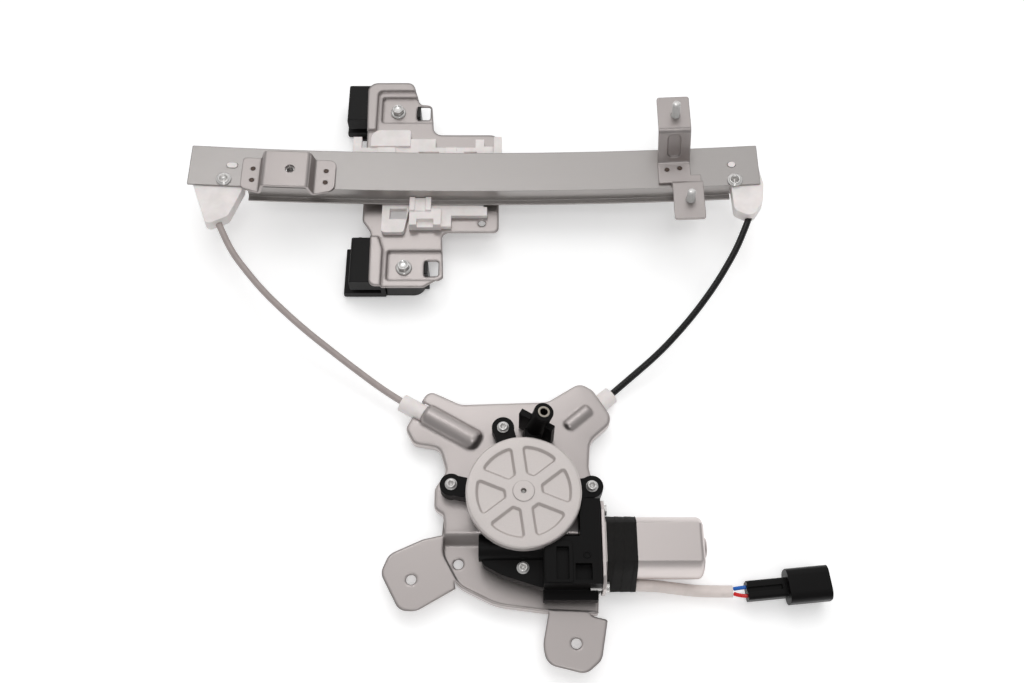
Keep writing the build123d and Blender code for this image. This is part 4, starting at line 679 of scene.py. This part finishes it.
def coil(start, end, radius, pitch, thickness):
    """Spring along a line: its wire's middle goes round the line once for each pitch, and the first and last
    turn lie closed, at a wire's thickness."""
    start, end = np.asarray(start), np.asarray(end)
    reach = np.linalg.norm(end - start)
    turns = (reach - 2 * thickness) / pitch + 2
    phase = np.linspace(0, turns, int(turns * TURN_POINTS))
    rates = [0, thickness, reach - thickness, reach]
    along = np.interp(phase, [0, 1, turns - 1, turns], rates)
    along = thickness / 2 + along * (reach - thickness) / reach
    angle = 2 * np.pi * phase
    path = np.stack([radius * np.cos(angle), radius * np.sin(angle), along], axis=-1)
    return upright(path, start, end - start)


class REGULATOR_OT_spring(bpy.types.Operator):
    """Wind the tension spring behind the left ferrule"""
    bl_idname = "regulator.spring"
    bl_label = "Tension spring"

    def execute(self, context):
        sizes = context.scene.regulator_sizes
        wire = sizes.spring_wire / MM
        path = coil(*SPRING_ENDS, SPRING_RADIUS - wire / 2, sizes.spring_pitch / MM, wire)
        piece = skin("coil_spring", [tube_shell(path, wire / 2, columns=12)])
        slot_name = next(part["material_slot"] for part in frame["record"]["subparts"]
                         if part["node"] == "tension_spring")
        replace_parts(dress(piece, "frame", slot_name), "tension_spring")
        return {"FINISHED"}


def smooth_curve(name, route, radius):
    """A cord's curve: one spline of order 3 whose control points are its route."""
    curve = bpy.data.curves.new(name, "CURVE")
    curve.dimensions = "3D"
    curve.bevel_depth = radius
    curve.bevel_resolution = 8
    curve.resolution_u = 24
    curve.use_fill_caps = True
    line = curve.splines.new("NURBS")
    line.points.add(len(route) - 1)
    for point, where in zip(line.points, route):
        point.co = (*(value * MM for value in where), 1)
    line.order_u = 3
    line.use_endpoint_u = True
    piece = bpy.data.objects.new(name, curve)
    bpy.context.scene.collection.objects.link(piece)
    return piece


class REGULATOR_OT_lead(bpy.types.Operator):
    """Lay the motor's lead: a sleeve, and the two wires that run from it into the plug"""
    bl_idname = "regulator.lead"
    bl_label = "Motor lead"

    def execute(self, context):
        sizes = context.scene.regulator_sizes
        sleeve = smooth_curve("motor_lead", SLEEVE_ROUTE, sizes.sleeve_radius)
        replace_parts(dress(sleeve, "frame", "sleeve_grey"), "lead_sleeve")
        blue = smooth_curve("blue_lead_wire", BLUE_ROUTE, sizes.wire_radius)
        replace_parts(dress(blue, "frame", "wire_blue"), "blue_wire")
        red = smooth_curve("red_lead_wire", RED_ROUTE, sizes.wire_radius)
        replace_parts(dress(red, "frame", "wire_red"), "red_wire")
        return {"FINISHED"}


def tape_section(angles, lead_radius, grow):
    """Distance from the motor's axis to a band pulled tight round the can and the lead, at each angle. The
    band's support in a direction is the greater of the two shapes' supports, and the distance is the least
    support over the cosine of the angle between the direction and the ray."""
    ways = np.linspace(-np.pi, np.pi, TAPE_WAYS, endpoint=False)
    corner = math.sqrt(CAN_RADIUS ** 2 - CAN_FLAT ** 2)
    flat = corner * np.abs(np.cos(ways)) + CAN_FLAT * np.abs(np.sin(ways))
    can = np.where(np.abs(CAN_RADIUS * np.sin(ways)) <= CAN_FLAT, CAN_RADIUS, flat)
    lead_y, lead_z = LEAD_PLACE[0] - MOTOR_AXIS[0], LEAD_PLACE[1] - MOTOR_AXIS[1]
    lead = lead_y * np.cos(ways) + lead_z * np.sin(ways) + lead_radius
    support = np.maximum(can, lead) + grow
    cosine = np.cos(ways[None, :] - angles[:, None])
    reach = support[None, :] / np.maximum(cosine, LEAST_COSINE)
    return np.min(np.where(cosine > LEAST_COSINE, reach, np.inf), axis=1)


class REGULATOR_OT_tape(bpy.types.Operator):
    """Wind the cloth tape that holds the lead against the motor"""
    bl_idname = "regulator.tape"
    bl_label = "Cloth tape"

    def execute(self, context):
        step = context.scene.regulator_sizes.tape_step / MM
        lead = context.scene.regulator_sizes.sleeve_radius / MM
        angles = np.linspace(0, 2 * np.pi, TAPE_COLUMNS, endpoint=False)
        start, end = TAPE_ENDS
        places = np.concatenate([[start], np.linspace(start, end, TAPE_ROWS), [end]])[:, None]
        turns = (places - start) / TAPE_PITCH + angles[None, :] / (2 * np.pi)
        lap = step * (1 - turns % 1.0)
        ripple = RIPPLE_HEIGHT * np.sin(RIPPLE_COUNT * angles)[None, :] * np.sin(places * RIPPLE_RATE)
        outer = tape_section(angles, lead, TAPE_OUTSIDE)[None, :] + lap + ripple + TAPE_LIFT
        inner = np.broadcast_to(tape_section(angles, lead, TAPE_INSIDE)[None, :], outer.shape)
        far = outer.copy()
        far[0], far[-1] = inner[0], inner[-1]
        across = np.cos(angles)[None, :]
        rise = np.sin(angles)[None, :]
        shell = np.stack([np.broadcast_to(places, far.shape), MOTOR_AXIS[0] + far * across,
                          MOTOR_AXIS[1] + far * rise], axis=-1)
        rims = inner[[0, -1]]
        lining = np.stack([np.broadcast_to(places[[0, -1]], rims.shape), MOTOR_AXIS[0] + rims * across,
                           MOTOR_AXIS[1] + rims * rise], axis=-1)
        piece = skin("tape_wrap", [shell, lining])
        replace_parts(dress(piece, "frame", "tape_black"), "motor_tape")
        return {"FINISHED"}


class REGULATOR_OT_stage(bpy.types.Operator):
    """Set the floor, the soft lamps, the world and the camera"""
    bl_idname = "regulator.stage"
    bl_label = "Stage"

    def execute(self, context):
        scene = context.scene
        self.floor(scene)
        self.lamps(scene)
        self.world(scene)
        self.camera(scene)
        scene.view_settings.view_transform = "Standard"
        return {"FINISHED"}

    def floor(self, scene):
        """A wide floor of white paper. To the camera and in reflections it also glows, more and more with the
        distance from the part, so that the shadows stay near the part and the floor meets the sky unseen."""
        half = FLOOR_HALF
        corners = [(-half, -half, 0), (half, -half, 0), (half, half, 0), (-half, half, 0)]
        mesh = bpy.data.meshes.new("floor")
        mesh.from_pydata(corners, [], [(0, 1, 2, 3)])
        mesh.transform(Matrix.Translation((0, 0, CAD_BOX[0].z - FLOOR_DROP)))
        floor = bpy.data.objects.new("floor", mesh)
        scene.collection.objects.link(floor)
        material, tree = blank("floor_paper")
        path = node(tree, "ShaderNodeLightPath")
        seen = path.outputs["Is Camera Ray"]
        for kind in ("Is Glossy Ray", "Is Transmission Ray"):
            either = node(tree, "ShaderNodeMath", {0: seen, 1: path.outputs[kind]}, operation="MAXIMUM")
            seen = either.outputs[0]
        spot = node(tree, "ShaderNodeTexCoord").outputs["Object"]
        reach = node(tree, "ShaderNodeVectorMath", {0: spot}, operation="LENGTH").outputs["Value"]
        shine = spread_over(tree, reach, FLOOR_REACH, FLOOR_GLOW, interpolation_type="SMOOTHSTEP")
        lift = node(tree, "ShaderNodeMath", {0: seen, 1: shine}, operation="MULTIPLY")
        glow = node(tree, "ShaderNodeEmission", {"Color": (1, 1, 1, 1), "Strength": lift.outputs[0]})
        paper = node(tree, "ShaderNodeBsdfDiffuse", {"Color": (*scene.regulator_colours.floor, 1)})
        both = node(tree, "ShaderNodeAddShader", {0: glow.outputs[0], 1: paper.outputs[0]})
        node(tree, "ShaderNodeOutputMaterial", {"Surface": both.outputs[0]})
        mesh.materials.append(material)

    def lamps(self, scene):
        """A key and a fill that metal doesn't mirror, and two small soft boxes that it does."""
        for name, where, size, watts, mirrored in LAMPS:
            lamp = bpy.data.lights.new(name, "AREA")
            lamp.size = size
            lamp.energy = watts
            holder = bpy.data.objects.new(name, lamp)
            holder.location = where
            holder.visible_glossy = mirrored
            holder.rotation_euler = (Vector(LAMP_AIM) - Vector(where)).to_track_quat("-Z", "Y").to_euler()
            scene.collection.objects.link(holder)

    def world(self, scene):
        """A sky that is white to the camera and glows for the part from one side."""
        world = bpy.data.worlds.new("studio")
        world.use_nodes = True
        tree = world.node_tree
        tree.nodes.clear()
        path = node(tree, "ShaderNodeLightPath")
        way = node(tree, "ShaderNodeTexCoord").outputs["Generated"]
        rise = node(tree, "ShaderNodeVectorMath", {0: way, 1: SKY_WAY}, operation="DOT_PRODUCT")
        glow = spread_over(tree, rise.outputs["Value"], SKY_COSINE, SKY_GLOW, interpolation_type="SMOOTHSTEP")
        seen = node(tree, "ShaderNodeMath", {0: path.outputs["Is Camera Ray"], 1: glow}, operation="MAXIMUM")
        sky = node(tree, "ShaderNodeBackground", {"Color": (1, 1, 1, 1), "Strength": seen.outputs[0]})
        node(tree, "ShaderNodeOutputWorld", {"Surface": sky.outputs[0]})
        scene.world = world

    def camera(self, scene):
        """Above and in front of the motor, looking down at 64 degrees."""
        lens = bpy.data.cameras.new("camera")
        lens.sensor_width = CAMERA_SENSOR
        lens.lens = CAMERA_LENS
        lens.clip_start = 0.01
        camera = bpy.data.objects.new("camera", lens)
        camera.location = [value * MM for value in CAMERA_PLACE]
        aim = Vector(CAMERA_AIM) * MM - camera.location
        camera.rotation_euler = aim.to_track_quat("-Z", "Y").to_euler()
        scene.collection.objects.link(camera)
        scene.camera = camera


class REGULATOR_PT_panel(bpy.types.Panel):
    """Shows the regulator's sizes and colours, and a button for each step"""
    bl_label = "Window Regulator"
    bl_idname = "REGULATOR_PT_panel"
    bl_space_type = "VIEW_3D"
    bl_region_type = "UI"
    bl_category = "Regulator"

    def draw(self, context):
        for settings in (context.scene.regulator_sizes, context.scene.regulator_colours):
            for name in settings.__annotations__:
                self.layout.prop(settings, name)
        for step in STEPS:
            self.layout.operator(step.bl_idname)


STEPS = [REGULATOR_OT_stage, REGULATOR_OT_finishes, REGULATOR_OT_lead, REGULATOR_OT_studs,
         REGULATOR_OT_clamp_bolts, REGULATOR_OT_gearbox_screws, REGULATOR_OT_rivets, REGULATOR_OT_welds,
         REGULATOR_OT_spring, REGULATOR_OT_tape]
CLASSES = [RegulatorSizes, RegulatorColours, *STEPS, REGULATOR_PT_panel]


def register():
    for entry in CLASSES:
        bpy.utils.register_class(entry)
    bpy.types.Scene.regulator_sizes = bpy.props.PointerProperty(type=RegulatorSizes)
    bpy.types.Scene.regulator_colours = bpy.props.PointerProperty(type=RegulatorColours)


def unregister():
    del bpy.types.Scene.regulator_colours
    del bpy.types.Scene.regulator_sizes
    for entry in reversed(CLASSES):
        bpy.utils.unregister_class(entry)


def main():
    """Makes every piece in turn."""
    register()
    for step in STEPS:
        group, name = step.bl_idname.split(".")
        getattr(getattr(bpy.ops, group), name)()


if __name__ == "__main__":
    main()
